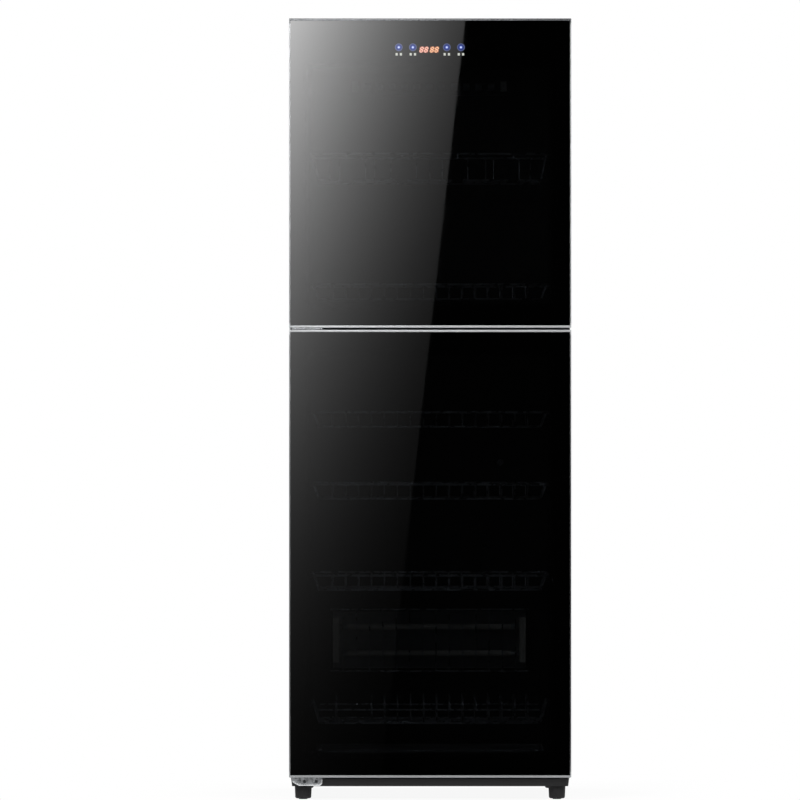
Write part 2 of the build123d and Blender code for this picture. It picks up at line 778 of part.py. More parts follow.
def rack_base(z, cross_wires):
    """Flat welded floor: a loop, cross wires in its plane and ribs laid on top from front to back."""
    loop = wire_loop((-base_half, base_half), (base_front, base_back), z, RACK_SLOPE, FRAME_WIRE)
    step = (base_back - base_front) / (cross_wires + 1)
    crossing = [
        rod((-base_half, y, z), (base_half, y, z), RIB_WIRE)
        for y in [base_front + (k + 1) * step for k in range(cross_wires)]
    ]
    rise = z + (FRAME_WIRE + RIB_WIRE) / 2 - WELD
    ribs = [
        rod((x, base_front, rise), (x, base_back, rise), RIB_WIRE)
        for x in spread(-base_half + RACK_SLOPE, base_half - RACK_SLOPE, RIB_PITCH)
    ]
    return loop + crossing + ribs


def stand_off(foot, head):
    """The point beside a floor wire from which a wire rises towards its head."""
    run = (Vector(*head) - Vector(*foot)).normalized()
    return Vector(*foot) + run * (FRAME_WIRE / 2 + TOUCH)


def end_rim(y_rim, y_base, rim_z):
    """Front or back rim wire of a rack with its two corners."""
    turn = RACK_SLOPE if y_rim < y_base else -RACK_SLOPE
    return bent_wire(
        [
            (-rack_half, y_rim + turn, rim_z),
            (-rack_half, y_rim, rim_z),
            (rack_half, y_rim, rim_z),
            (rack_half, y_rim + turn, rim_z),
        ],
        RIM_WIRE,
        RACK_SLOPE - TOUCH,
    )


def end_panel(y_rim, y_base, rim_z, base_z):
    """Sloping front or back of a basket: the rim, and ribs from its inner side down to the floor."""
    y_head = y_rim + math.copysign(rib_inset, y_base - y_rim)
    ribs = [
        rod(stand_off((x, y_base, base_z), (x, y_head, rim_z)), (x, y_head, rim_z), RIB_WIRE)
        for x in spread(-base_half + RACK_SLOPE, base_half - RACK_SLOPE, RIB_PITCH)
    ]
    return end_rim(y_rim, y_base, rim_z) + ribs


def side_frame(side, rim_z, base_z):
    """Sloping side of a rack: the straight rim between the corners, and ribs from its inner side down."""
    x_rim, x_base = side * rack_half, side * base_half
    x_head = side * (rack_half - rib_inset)
    rim = rod((x_rim, base_front, rim_z), (x_rim, base_back, rim_z), RIM_WIRE)
    ribs = [
        rod(stand_off((x_base, y, base_z), (x_head, y, rim_z)), (x_head, y, rim_z), RIB_WIRE)
        for y in spread(base_front + RACK_SLOPE, base_back - RACK_SLOPE, RIB_PITCH)
    ]
    return Part() + rim + ribs


def basket():
    """Welded wire basket with sloping sides, its rim at height zero."""
    base_z = -RACK_HEIGHT
    return group(
        [
            rack_base(base_z, CROSS_WIRES),
            end_panel(rack_front, base_front, 0, base_z),
            end_panel(rack_back, base_back, 0, base_z),
            side_frame(-1, 0, base_z),
            side_frame(1, 0, base_z),
        ]
    )


def stem_places():
    """Middles of the slots that the stems of upturned glasses hang in."""
    count = int((2 * base_half + STEM_SLOT) / STEM_PITCH)
    return [(k - (count - 1) / 2) * STEM_PITCH for k in range(count)]


def stem_strips():
    """X spans, at the wires' middles, of the floor strips between the stem slots."""
    reach = (STEM_SLOT + FRAME_WIRE) / 2
    stems = stem_places()
    lows = [-base_half] + [x + reach for x in stems]
    highs = [x - reach for x in stems] + [base_half]
    return list(zip(lows, highs))


def stemware_rack():
    """Shelf of wire strips with open stem slots between them, hung from a rim with double front bars."""
    rim_z, base_z = 0, -STEMWARE_DROP
    bar_z = rim_z - STEM_BAR_SPACING
    strips = []
    hangers = []
    rear = base_back - FRAME_WIRE - TOUCH
    corner = FRAME_WIRE
    for low, high in stem_strips():
        middle = (low + high) / 2
        loop = wire_loop((low, high), (base_front, rear), base_z, corner, FRAME_WIRE)
        cross = [
            rod((low, y, base_z), (high, y, base_z), RIB_WIRE)
            for y in spread(base_front, rear, 2 * RIB_PITCH)
        ]
        strips.append(loop + cross)
        top = (middle, rack_front, bar_z - RIB_WIRE / 2 - TOUCH)
        hangers.append(rod(stand_off((middle, base_front, base_z), top), top, RIB_WIRE))
    reach = rack_half - RACK_SLOPE
    bar = rod((-reach, rack_front, bar_z), (reach, rack_front, bar_z), RIB_WIRE)
    links = [
        rod((x, rack_front, rim_z), (x, rack_front, bar_z), RIB_WIRE)
        for x in spread(-reach, reach, STEM_PITCH)
    ]
    front_rim = end_rim(rack_front, base_front, rim_z) + bar + links
    floor_bar = rod((-base_half, base_back, base_z), (base_half, base_back, base_z), FRAME_WIRE)
    drops = [
        rod((x, base_back, base_z), (x, rack_back - rib_inset, rim_z), RIB_WIRE)
        for x in spread(-base_half + RACK_SLOPE, base_half - RACK_SLOPE, 2 * RIB_PITCH)
    ]
    back_rim = end_rim(rack_back, base_back, rim_z) + floor_bar + drops
    sides = [side_frame(side, rim_z, base_z) for side in (-1, 1)]
    return group(strips + hangers + [front_rim, back_rim] + sides)


def hoop_places():
    """Middles of the plate hoops: one, a wide slot for bowls, then as many as the pitch allows."""
    first = -base_half + HOOP_LEFT_MARGIN
    second = first + WIDE_SLOT
    count = int((base_half - HOOP_RIGHT_MARGIN - second) / HOOP_PITCH) + 1
    return [first] + [second + k * HOOP_PITCH for k in range(count)]


def plate_rack():
    """Rack whose upright hoops hold plates on edge, tied by a bar at the front and one at the back."""
    rim_z, base_z = 0, -PLATE_RACK_HEIGHT
    foot = base_z + FRAME_WIRE / 2 + TOUCH
    top = base_z + HOOP_HEIGHT
    hoops = [
        bent_wire(
            [(x, base_front, foot), (x, base_front, top), (x, base_back, top), (x, base_back, foot)],
            HOOP_WIRE,
            HOOP_BEND,
        )
        for x in hoop_places()
    ]
    reach = (HOOP_WIRE + FRAME_WIRE) / 2 + TOUCH
    bar_z = base_z + TIE_BAR_RISE
    bars = [
        rod((-base_half, y, bar_z), (base_half, y, bar_z), FRAME_WIRE)
        for y in (base_front - reach, base_back + reach)
    ]
    sides = [side_frame(side, rim_z, base_z) for side in (-1, 1)]
    return group([rack_base(base_z, CROSS_WIRES)] + hoops + bars + sides)


def drip_tray():
    """Shallow pressed tray on the floor of the lower chamber, with a lip at the front to pull it by."""
    half = chamber_half - TRAY_SIDE_GAP
    y = (body_front + TRAY_FRONT_GAP, chamber_back - TRAY_BACK_GAP)
    z = (lower_floor + RUN_GAP, lower_floor + RUN_GAP + TRAY_HEIGHT)
    sheet = TRAY_SHEET
    pan = block((-half, half), y, z) - block(
        (-half + sheet, half - sheet), (y[0] + sheet, y[1] - sheet), (z[0] + sheet, z[1])
    )
    return pan + block((-half, half), (y[0] - TRAY_LIP, y[0]), (z[1] - sheet, z[1]))


# Lamp and heater


def uv_lamp_tube():
    y = chamber_back - LAMP_STANDOFF
    return rod((-LAMP_LENGTH / 2, y, lamp_z), (LAMP_LENGTH / 2, y, lamp_z), LAMP_DIAMETER)


def uv_lamp_sockets():
    z = (lamp_z - SOCKET_HEIGHT / 2, lamp_z + SOCKET_HEIGHT / 2)
    y = (chamber_back - SOCKET_DEPTH, chamber_back)
    return group([block(x, y, z) for x in mirrored(LAMP_LENGTH / 2, LAMP_LENGTH / 2 + SOCKET_LENGTH)])


def uv_lamp_guard():
    """Slotted sheet metal channel over the lamp, open at its ends."""
    half = LAMP_LENGTH / 2 + SOCKET_LENGTH
    y = (chamber_back - GUARD_DEPTH, chamber_back)
    z = (lamp_z - GUARD_HEIGHT / 2, lamp_z + GUARD_HEIGHT / 2)
    sheet = GUARD_SHEET
    inside = block((-half, half), (y[0] + sheet, y[1]), (z[0] + sheet, z[1] - sheet))
    channel = block((-half, half), y, z) - inside
    slots = [
        block(
            (x - GUARD_SLOT / 2, x + GUARD_SLOT / 2),
            (y[0], y[0] + sheet),
            (z[0] + GUARD_SLOT / 2, z[1] - GUARD_SLOT / 2),
        )
        for x in spread(-half, half, GUARD_SLOT_PITCH)
    ]
    return channel - slots


def quartz_tubes():
    y = chamber_back - REFLECTOR_SHEET - HEATER_STANDOFF
    half = HEATER_LENGTH / 2
    heights = (heater_z - HEATER_SPACING / 2, heater_z + HEATER_SPACING / 2)
    return group([rod((-half, y, z), (half, y, z), HEATER_TUBE) for z in heights])


def tube_holders():
    y = (chamber_back - REFLECTOR_SHEET - HOLDER_DEPTH, chamber_back - REFLECTOR_SHEET)
    z = (heater_z - HOLDER_HEIGHT / 2, heater_z + HOLDER_HEIGHT / 2)
    half = HEATER_LENGTH / 2
    return group([block(x, y, z) for x in mirrored(half, half + HOLDER_LENGTH)])


def heater_reflector():
    """Polished sheet behind the tubes, its top and bottom edges folded forward."""
    half = HEATER_LENGTH / 2 + HOLDER_LENGTH
    z = (heater_z - REFLECTOR_HEIGHT / 2, heater_z + REFLECTOR_HEIGHT / 2)
    sheet = REFLECTOR_SHEET
    plate = block((-half, half), (chamber_back - sheet, chamber_back), z)
    flanges = [
        block((-half, half), (chamber_back - REFLECTOR_FLANGE, chamber_back), span)
        for span in ((z[0], z[0] + sheet), (z[1] - sheet, z[1]))
    ]
    return plate + flanges


def heater_guard():
    """Welded wire guard in front of the tubes, on four legs from the chamber's back wall."""
    half = HEATER_LENGTH / 2 + HOLDER_LENGTH + HEATER_GUARD_MARGIN
    rise = REFLECTOR_HEIGHT / 2 + HEATER_GUARD_MARGIN
    y = chamber_back - HEATER_GUARD_STANDOFF
    bars = [rod((-half, y, heater_z + z), (half, y, heater_z + z), FRAME_WIRE) for z in (-rise, rise)]
    ribs = [
        rod((x, y, heater_z - rise), (x, y, heater_z + rise), RIB_WIRE)
        for x in spread(-half, half, HEATER_GUARD_PITCH)
    ]
    legs = [
        along_y(side * (half - FRAME_WIRE / 2), heater_z + z, y, chamber_back, RIB_WIRE)
        for side in (-1, 1)
        for z in (-rise, rise)
    ]
    return Part() + bars + ribs + legs


def temperature_sensor():
    tip = chamber_back - SENSOR_LENGTH
    probe = along_y(SENSOR_X, sensor_z, tip, chamber_back, SENSOR_DIAMETER)
    return probe.fuse(
        along_y(SENSOR_X, sensor_z, chamber_back - SENSOR_NUT_HEIGHT, chamber_back, SENSOR_NUT_DIAMETER)
    )


# Electrics


def power_case_spans():
    """Where the power board's case stands, on top of the upper liner."""
    y_middle = (frame_back + chamber_back) / 2
    floor = upper_ceiling + LINER_SHEET
    return (
        (-POWER_CASE_WIDTH / 2, POWER_CASE_WIDTH / 2),
        (y_middle - POWER_CASE_DEPTH / 2, y_middle + POWER_CASE_DEPTH / 2),
        (floor, floor + POWER_CASE_HEIGHT),
    )


def power_board_case():
    x, y, z = power_case_spans()
    wall = POWER_CASE_WALL
    inside = block((x[0] + wall, x[1] - wall), (y[0] + wall, y[1] - wall), (z[0] + wall, z[1]))
    inset = wall + 2 * POWER_POST
    posts = [
        upright(px, py, z[0], z[0] + wall + POWER_POST, 2 * POWER_POST)
        for px in (x[0] + inset, x[1] - inset)
        for py in (y[0] + inset, y[1] - inset)
    ]
    return (block(x, y, z) - inside) + posts


def power_board():
    """Circuit board on the case's posts, with a row of relays."""
    x, y, z = power_case_spans()
    inset = POWER_CASE_WALL + BOARD_PLAY
    seat = z[0] + POWER_CASE_WALL + POWER_POST
    board = block((x[0] + inset, x[1] - inset), (y[0] + inset, y[1] - inset), (seat, seat + BOARD))
    middle_y = (y[0] + y[1]) / 2
    relays = [
        block(
            (place - RELAY_SIZE / 2, place + RELAY_SIZE / 2),
            (middle_y - RELAY_SIZE / 2, middle_y + RELAY_SIZE / 2),
            (seat + BOARD, seat + BOARD + RELAY_HEIGHT),
        )
        for place in [(k - (RELAY_COUNT - 1) / 2) * RELAY_PITCH for k in range(RELAY_COUNT)]
    ]
    return board + relays


def door_sensors():
    """Reed switches behind the front frame, one opposite each door's magnetic seal."""
    outer = side_inner - DOOR_SENSOR_GAP
    boxes = []
    for low, high in (LOWER_DOOR, UPPER_DOOR):
        middle = (low + high) / 2
        boxes.append(
            block(
                (outer - DOOR_SENSOR_WIDTH, outer),
                (frame_back, frame_back + DOOR_SENSOR_DEPTH),
                (middle - DOOR_SENSOR_HEIGHT / 2, middle + DOOR_SENSOR_HEIGHT / 2),
            )
        )
    return group(boxes)


def cord_gland():
    """Flanged bush in the back panel where the supply lead comes out."""
    outside = along_y(gland_x, gland_z, panel_outer, panel_outer + GLAND_OUTSIDE, 2 * GLAND_FLANGE)
    barrel = along_y(gland_x, gland_z, panel_inner, panel_outer, 2 * GLAND_BARREL)
    inside = along_y(gland_x, gland_z, panel_inner - GLAND_INSIDE, panel_inner, 2 * GLAND_FLANGE)
    bore = along_y(gland_x, gland_z, panel_inner - GLAND_INSIDE, panel_outer + GLAND_OUTSIDE, 2 * GLAND_BORE)
    return outside.fuse(barrel, inside) - bore


# Feet


def feet():
    """Middle of each levelling foot."""
    return {
        "foot_front_left": (-foot_x, foot_front_y),
        "foot_front_right": (foot_x, foot_front_y),
        "foot_rear_left": (-foot_x, foot_rear_y),
        "foot_rear_right": (foot_x, foot_rear_y),
    }


def levelling_foot(x, y):
    """Tapered moulded foot with a small pad below and its threaded stud above."""
    top = FOOT_HEIGHT - RUN_GAP
    outline = Polyline(
        (0, 0),
        (FOOT_PAD_RADIUS, 0),
        (FOOT_PAD_RADIUS, FOOT_PAD_HEIGHT),
        (FOOT_BOTTOM_RADIUS - FOOT_ROUNDING, FOOT_PAD_HEIGHT),
        (FOOT_BOTTOM_RADIUS, FOOT_PAD_HEIGHT + FOOT_ROUNDING),
        (FOOT_TOP_RADIUS, top),
        (STUD_RADIUS, top),
        (STUD_RADIUS, FOOT_HEIGHT + STUD_REACH),
        (0, FOOT_HEIGHT + STUD_REACH),
        close=True,
    )
    profile = Plane.XZ * make_face(outline)
    return Pos(x, y, 0) * revolve(profile, Axis.Z)


def nodes():
    """Every piece by its name."""
    notch = TOP_STEP + PLATE_CLEARANCE
    wire_basket = basket()
    pieces = {
        "side_panel_left": side_panel(-1),
        "side_panel_right": side_panel(1),
        "top_panel": top_panel(),
        "back_panel": back_panel(),
        "bottom_plate": bottom_plate(),
        "base_plinth": base_plinth(),
        "front_frame": front_frame(),
        "mid_beam": mid_beam(),
        "upper_liner": liner(upper_floor, upper_ceiling),
        "lower_liner": liner(lower_floor, lower_ceiling),
        "lower_insulation": lower_insulation(),
        "upper_rails": rack_rails(upper_floor, (CUP_RACK_RIM, STEMWARE_RACK_RIM)),
        "lower_rails": rack_rails(
            lower_floor, (PLATE_RACK_RIM, DEEP_DISH_RACK_RIM, DISH_RACK_RIM, BOWL_RACK_RIM)
        ),
        "uv_lamp_tube": uv_lamp_tube(),
        "uv_lamp_sockets": uv_lamp_sockets(),
        "uv_lamp_guard": uv_lamp_guard(),
        "quartz_tubes": quartz_tubes(),
        "tube_holders": tube_holders(),
        "heater_reflector": heater_reflector(),
        "heater_guard": heater_guard(),
        "temperature_sensor": temperature_sensor(),
        "power_board_case": power_board_case(),
        "power_board": power_board(),
        "door_sensors": door_sensors(),
        "cord_gland": cord_gland(),
        "top_hinge_plate": top_hinge_plate(),
        "mid_hinge_plate": mid_hinge_plate(),
        "bottom_hinge_plate": bottom_hinge_plate(),
        "hinge_pins": hinge_pins(),
        "screws": screws(),
        "control_housing": control_housing(),
        "control_board": control_board(),
        "display_module": display_module(),
        "touch_key_lights": touch_key_lights(),
        "stemware_rack": Pos(0, 0, upper_floor + STEMWARE_RACK_RIM) * stemware_rack(),
        "cup_rack": Pos(0, 0, upper_floor + CUP_RACK_RIM) * wire_basket,
        "bowl_rack": Pos(0, 0, lower_floor + BOWL_RACK_RIM) * wire_basket,
        "dish_rack": Pos(0, 0, lower_floor + DISH_RACK_RIM) * wire_basket,
        "deep_dish_rack": Pos(0, 0, lower_floor + DEEP_DISH_RACK_RIM) * wire_basket,
        "plate_rack": Pos(0, 0, lower_floor + PLATE_RACK_RIM) * plate_rack(),
        "drip_tray": drip_tray(),
    }
    for name, door, top_notch in (("upper_door", UPPER_DOOR, notch), ("lower_door", LOWER_DOOR, 0)):
        pieces[f"{name}_glass"] = door_glass(door)
        pieces[f"{name}_stiles"] = door_stiles(door)
        pieces[f"{name}_rails"] = door_rails(door)
        pieces[f"{name}_top_cap"] = door_cap(door, True, top_notch)
        pieces[f"{name}_bottom_cap"] = door_cap(door, False, 0)
        pieces[f"{name}_gasket"] = door_gasket(door)
        pieces[f"{name}_bushes"] = door_bushes(door, top_notch)
    for name, (x, y) in feet().items():
        pieces[name] = levelling_foot(x, y)
    return pieces


def main():
    os.makedirs("parts", exist_ok=True)
    for name, piece in nodes().items():
        export_step(piece, f"parts/{name}.step")


if __name__ == "__main__":
    main()
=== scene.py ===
import json
import math

import bmesh
import bpy
import numpy as np
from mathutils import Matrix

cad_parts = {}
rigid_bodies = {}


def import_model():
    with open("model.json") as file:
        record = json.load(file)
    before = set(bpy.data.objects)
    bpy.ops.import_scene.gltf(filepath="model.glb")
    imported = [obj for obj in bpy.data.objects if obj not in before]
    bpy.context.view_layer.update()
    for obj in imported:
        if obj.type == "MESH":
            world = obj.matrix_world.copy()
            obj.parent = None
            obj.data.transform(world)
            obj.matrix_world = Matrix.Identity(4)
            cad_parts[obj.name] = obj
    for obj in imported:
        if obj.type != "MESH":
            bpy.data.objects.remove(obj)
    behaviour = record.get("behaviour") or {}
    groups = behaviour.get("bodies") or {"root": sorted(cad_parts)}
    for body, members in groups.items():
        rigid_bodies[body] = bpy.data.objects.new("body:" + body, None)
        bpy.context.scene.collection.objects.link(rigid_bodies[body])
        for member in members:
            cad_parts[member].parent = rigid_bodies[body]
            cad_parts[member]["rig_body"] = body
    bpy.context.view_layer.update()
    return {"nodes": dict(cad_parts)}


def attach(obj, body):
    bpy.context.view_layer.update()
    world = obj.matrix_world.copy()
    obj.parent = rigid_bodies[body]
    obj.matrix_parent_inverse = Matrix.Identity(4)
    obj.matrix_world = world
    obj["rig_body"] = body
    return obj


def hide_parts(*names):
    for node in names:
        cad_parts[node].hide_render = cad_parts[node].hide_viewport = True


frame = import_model()
nodes = frame["nodes"]
scene = bpy.context.scene
scene.view_settings.view_transform = "Standard"

# Places repeated from the solids, in millimetres
GLASS_FACE = -214.5
DOOR_BACK = -185.0
BRACKET_FACE = -208.0
BACK_FACE = 209.0
HALF_DOOR = 290.0
SEAL_INSET = 15.0
DOORS = {"upper_door": (970.5, 1606.0), "lower_door": (46.0, 966.0)}
KEYS = np.array([-64.5, -35.6, 34.2, 63.2])
KEY_HEIGHT = 1546.6
DIGITS = np.array([-17.5, -8.1, 3.9, 13.3])
DIGIT_HEIGHT = 1541.8
FEET = {
    "foot_front_left": (-261.3, -180.0),
    "foot_front_right": (261.3, -180.0),
    "foot_rear_left": (-261.3, 185.0),
    "foot_rear_right": (261.3, 185.0),
}
TOP_SCREWS = [(-260.75, -170.0, 1603.5), (-234.25, -170.0, 1603.5), (-247.5, -148.0, 1603.5)]
FRONT_SCREWS = [(-252.25, -179.5, 977.0), (-230.75, -179.5, 977.0), (-258.5, BRACKET_FACE, 37.2),
                (-234.5, BRACKET_FACE, 37.2)]
BACK_SCREWS = [(x, BACK_FACE, z) for x in (-280.8, 280.8) for z in np.linspace(113.0, 1531.0, 4)]
RIBS = np.array([-170.0, 0.0, 170.0])
RIB_ENDS = (224.2, 1421.0)
LAMP_ENDS = [(-150.0, 165.0, 1483.0), (137.0, 165.0, 1483.0)]
HEATER_ENDS = [(x, 166.8, z) for x in (-190.0, 172.0) for z in (287.0, 343.0)]

# Where the photograph was taken from, in metres
CAMERA = (-0.0620, -13.915, 0.8218)


# Ways of making a mesh


def lattice(rows, columns, wrap_rows=False, wrap_columns=False):
    """Quads of a grid: each joins a point to the next in its row and to the row after. A wrapped side
    closes."""
    row = np.arange(rows if wrap_rows else rows - 1)[:, None]
    column = np.arange(columns if wrap_columns else columns - 1)[None, :]
    below, beside = (row + 1) % rows, (column + 1) % columns
    corners = (row * columns + column, row * columns + beside, below * columns + beside,
               below * columns + column)
    return np.stack(np.broadcast_arrays(*corners), -1).reshape(-1, 4).tolist()


def repeated(faces, copies, size):
    """Faces of several like grids: those of copy k are the first copy's, moved on by k times its points."""
    return (np.array(faces)[None] + size * np.arange(copies)[:, None, None]).reshape(-1, 4).tolist()


def grid_mesh(name, points, faces, marks=None, attribute="across"):
    """Mesh of points in millimetres and faces, with a number kept at each point where marks are given."""
    mesh = bpy.data.meshes.new(name)
    mesh.from_pydata((np.asarray(points, float).reshape(-1, 3) / 1000).tolist(), [], faces)
    if marks is not None:
        values = np.ravel(marks).astype(np.float32)
        mesh.attributes.new(attribute, "FLOAT", "POINT").data.foreach_set("value", values)
    return mesh


def put(name, data):
    """Object at the origin, linked to the scene."""
    made = bpy.data.objects.new(name, data)
    scene.collection.objects.link(made)
    return made


def piece(name, points, faces, finish, body, stands_for=(), sharp=35, marks=None):
    """Puts a grid into a mesh, joins points that meet, turns the faces of each closed shell outwards and hangs
    it on a body."""
    mesh = grid_mesh(name, points, faces, marks)
    joined = bmesh.new()
    joined.from_mesh(mesh)
    bmesh.ops.remove_doubles(joined, verts=joined.verts, dist=2e-6)
    bmesh.ops.dissolve_degenerate(joined, edges=joined.edges, dist=1e-7)
    bmesh.ops.recalc_face_normals(joined, faces=joined.faces)
    joined.to_mesh(mesh)
    joined.free()
    mesh.shade_smooth()
    mesh.set_sharp_from_angle(angle=math.radians(sharp))
    mesh.materials.append(finish)
    made = put(name, mesh)
    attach(made, body)
    if stands_for:
        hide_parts(*stands_for)


def turned(profile, steps):
    """Surface of revolution: a profile point of radius r and height h lies at (r cos a, r sin a, h) for each
    angle a."""
    radius, height = np.asarray(profile, float).T[:, :, None]
    angle = np.linspace(0, 2 * np.pi, steps, endpoint=False)[None, :]
    points = np.stack(np.broadcast_arrays(radius * np.cos(angle), radius * np.sin(angle), height), -1)
    return points, lattice(len(profile), steps, wrap_columns=True)


def rounded_corner(middle, radius, start, end, steps=7):
    """Arc of a profile: points at one radius from a middle, from a start angle to an end angle in degrees."""
    angle = np.radians(np.linspace(start, end, steps))
    return np.stack([middle[0] + radius * np.cos(angle), middle[1] + radius * np.sin(angle)], -1)


def pads(outlines, shares, depths):
    """Thin closed films on the glass: ring k is each outline drawn in to a share of its size round its middle,
    at depth k, and the first and last shares are 0, so that both faces close."""
    middle = outlines.mean(1, keepdims=True)
    rings = middle[:, None] + np.asarray(shares)[None, :, None, None] * (outlines - middle)[:, None]
    y = np.broadcast_to(np.asarray(depths)[None, :, None], rings.shape[:3])
    points = np.stack([rings[..., 0], y, rings[..., 1]], -1)
    copies, rows, columns = points.shape[:3]
    return points, repeated(lattice(rows, columns, wrap_columns=True), copies, rows * columns)


def edged(node, width, finish):
    """Copy of a solid whose loose triangles are joined and whose flat faces are made whole, with its edges
    broken by a small round as tooling leaves them. Each point is then held inside the solid's own box."""
    name = f"{node}_edged"
    shape = bmesh.new()
    shape.from_mesh(nodes[node].data)
    bmesh.ops.remove_doubles(shape, verts=shape.verts, dist=1e-6)
    bmesh.ops.dissolve_limit(shape, angle_limit=0.002, verts=shape.verts, edges=shape.edges)
    mesh = bpy.data.meshes.new(name)
    shape.to_mesh(mesh)
    shape.free()
    mesh.shade_smooth()
    mesh.materials.append(finish)
    made = put(name, mesh)
    rounding = made.modifiers.new("broken_edges", "BEVEL")
    rounding.width = width / 1000
    rounding.segments = 2
    rounding.limit_method = "ANGLE"
    rounding.angle_limit = math.radians(30)
    flatness = made.modifiers.new("flat_faces", "WEIGHTED_NORMAL")
    flatness.mode = "FACE_AREA"
    flatness.weight = 100
    rounded = bpy.data.meshes.new_from_object(made.evaluated_get(bpy.context.evaluated_depsgraph_get()))
    made.modifiers.clear()
    made.data = rounded
    corners = np.array([corner[:] for corner in nodes[node].bound_box])
    points = np.empty(len(rounded.vertices) * 3)
    rounded.vertices.foreach_get("co", points)
    points = np.clip(points.reshape(-1, 3), corners.min(0), corners.max(0))
    rounded.vertices.foreach_set("co", points.ravel())
    rounded.update()
    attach(made, nodes[node]["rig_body"])
    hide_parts(node)


# Finishes


def colour(code):
    """Hex sRGB to linear: v / 12.92 up to 0.04045, and ((v + 0.055) / 1.055) to the power 2.4 above it."""
    value = np.array([int(code[place:place + 2], 16) for place in (1, 3, 5)]) / 255
    linear = np.where(value <= 0.04045, value / 12.92, ((value + 0.055) / 1.055) ** 2.4)
    return (*linear.tolist(), 1.0)


def per_metre(size):
    """Texture scale whose cells are this many millimetres across."""
    return 1000.0 / size


def add(tree, kind, values=None, links=None, **settings):
    """Adds one node with its settings and socket values, and links its inputs to sockets or to first outputs.
    A socket goes by name or number. In MapRange, 1 and 2 are the range read and 3 and 4 the range given. In
    Mix, 0 is the share, 2 and 3 are the numbers and 6 and 7 the colours, and colours come out of 2."""
    made = tree.nodes.new("ShaderNode" + kind)
    for key, value in settings.items():
        setattr(made, key, value)
    for key, value in (values or {}).items():
        made.inputs[key].default_value = value
    for key, source in (links or {}).items():
        socket = source if isinstance(source, bpy.types.NodeSocket) else source.outputs[0]
        tree.links.new(socket, made.inputs[key])
    return made


def new_finish(name):
    """An empty node material, with the piece's own coordinates ready for its patterns."""
    made = bpy.data.materials.new(name)
    made.use_nodes = True
    made.node_tree.nodes.clear()
    return made, made.node_tree, add(made.node_tree, "TexCoord").outputs["Object"]


def drawn_along(axis, share):
    """Scale that draws a pattern out along one axis, by one over the share."""
    return [share if letter == axis else 1.0 for letter in "XYZ"]


def coated_steel(name, dark, light, roughness, peel, depth):
    """Powder or enamel melted on to sheet steel: a satin skin with a fine orange peel, whose peaks are made
    paler by a painted highlight, and a slow drift in gloss."""
    made, tree, place = new_finish(name)
    # Orange peel is 1 to 2 mm on the real sheet, drawn coarser so that it still shows
    skin = add(tree, "TexNoise", {"Scale": per_metre(peel), "Detail": 2.0}, {"Vector": place})
    drift = add(tree, "TexNoise", {"Scale": per_metre(220), "Detail": 3.0}, {"Vector": place})
    # Painted highlight: the colour is paler on the peaks of the orange peel, as if light caught them
    peaks = add(tree, "MapRange", {1: 0.35, 2: 0.68}, {0: skin})
    tint = add(tree, "Mix", {6: colour(dark), 7: colour(light)}, {0: peaks}, data_type="RGBA")
    gloss = add(tree, "MapRange", {1: 0.3, 2: 0.7, 3: roughness - 0.05, 4: roughness + 0.06}, {0: drift})
    bump = add(tree, "Bump", {"Strength": depth, "Distance": 0.0015}, {"Height": skin})
    shader = add(tree, "BsdfPrincipled", {"IOR": 1.5}, {
        "Base Color": tint.outputs[2], "Roughness": gloss, "Normal": bump})
    add(tree, "OutputMaterial", links={"Surface": shader})
    return made


def moulded_plastic(name, dark, light, roughness, grain=2.5, depth=0.25, ior=1.53):
    """Injection moulded plastic: a spark-eroded grain from the tool, with a painted highlight paler on its
    peaks.
    """
    made, tree, place = new_finish(name)
    # Spark grain is about 0.4 mm, drawn coarser so that it still shows
    spark = add(tree, "TexNoise", {"Scale": per_metre(grain), "Detail": 4.0, "Roughness": 0.6}, {
        "Vector": place})
    flow = add(tree, "TexNoise", {"Scale": per_metre(90), "Detail": 2.0}, {"Vector": place})
    # Painted highlight: the colour follows the grain's height, so its peaks are paler; the slow flow adds a
    # random drift in tone
    shade = add(tree, "Math", {1: 0.5}, {0: spark, 2: flow}, operation="MULTIPLY_ADD")
    tint = add(tree, "Mix", {6: colour(dark), 7: colour(light)}, {0: shade}, data_type="RGBA")
    gloss = add(tree, "MapRange", {1: 0.3, 2: 0.7, 3: roughness - 0.06, 4: roughness + 0.08}, {0: spark})
    bump = add(tree, "Bump", {"Strength": depth, "Distance": 0.0003}, {"Height": spark})
    shader = add(tree, "BsdfPrincipled", {"IOR": ior}, {
        "Base Color": tint.outputs[2], "Roughness": gloss, "Normal": bump})
    add(tree, "OutputMaterial", links={"Surface": shader})
    return made


def plated_metal(name, dark, light, roughness, cloud=14.0):
    """Bright electroplate on steel: a mirror skin with a slight cloudiness where the bath ran thin."""
    made, tree, place = new_finish(name)
    cloudy = add(tree, "TexNoise", {"Scale": per_metre(cloud), "Detail": 3.0}, {"Vector": place})
    ripple = add(tree, "TexNoise", {"Scale": per_metre(5), "Detail": 1.0}, {"Vector": place})
    tint = add(tree, "Mix", {6: colour(dark), 7: colour(light)}, {0: cloudy}, data_type="RGBA")
    gloss = add(tree, "MapRange", {1: 0.3, 2: 0.7, 3: roughness * 0.6, 4: roughness * 1.5}, {0: cloudy})
    bump = add(tree, "Bump", {"Strength": 0.08, "Distance": 0.0002}, {"Height": ripple})
    shader = add(tree, "BsdfPrincipled", {"Metallic": 1.0}, {
        "Base Color": tint.outputs[2], "Roughness": gloss, "Normal": bump})
    add(tree, "OutputMaterial", links={"Surface": shader})
    return made


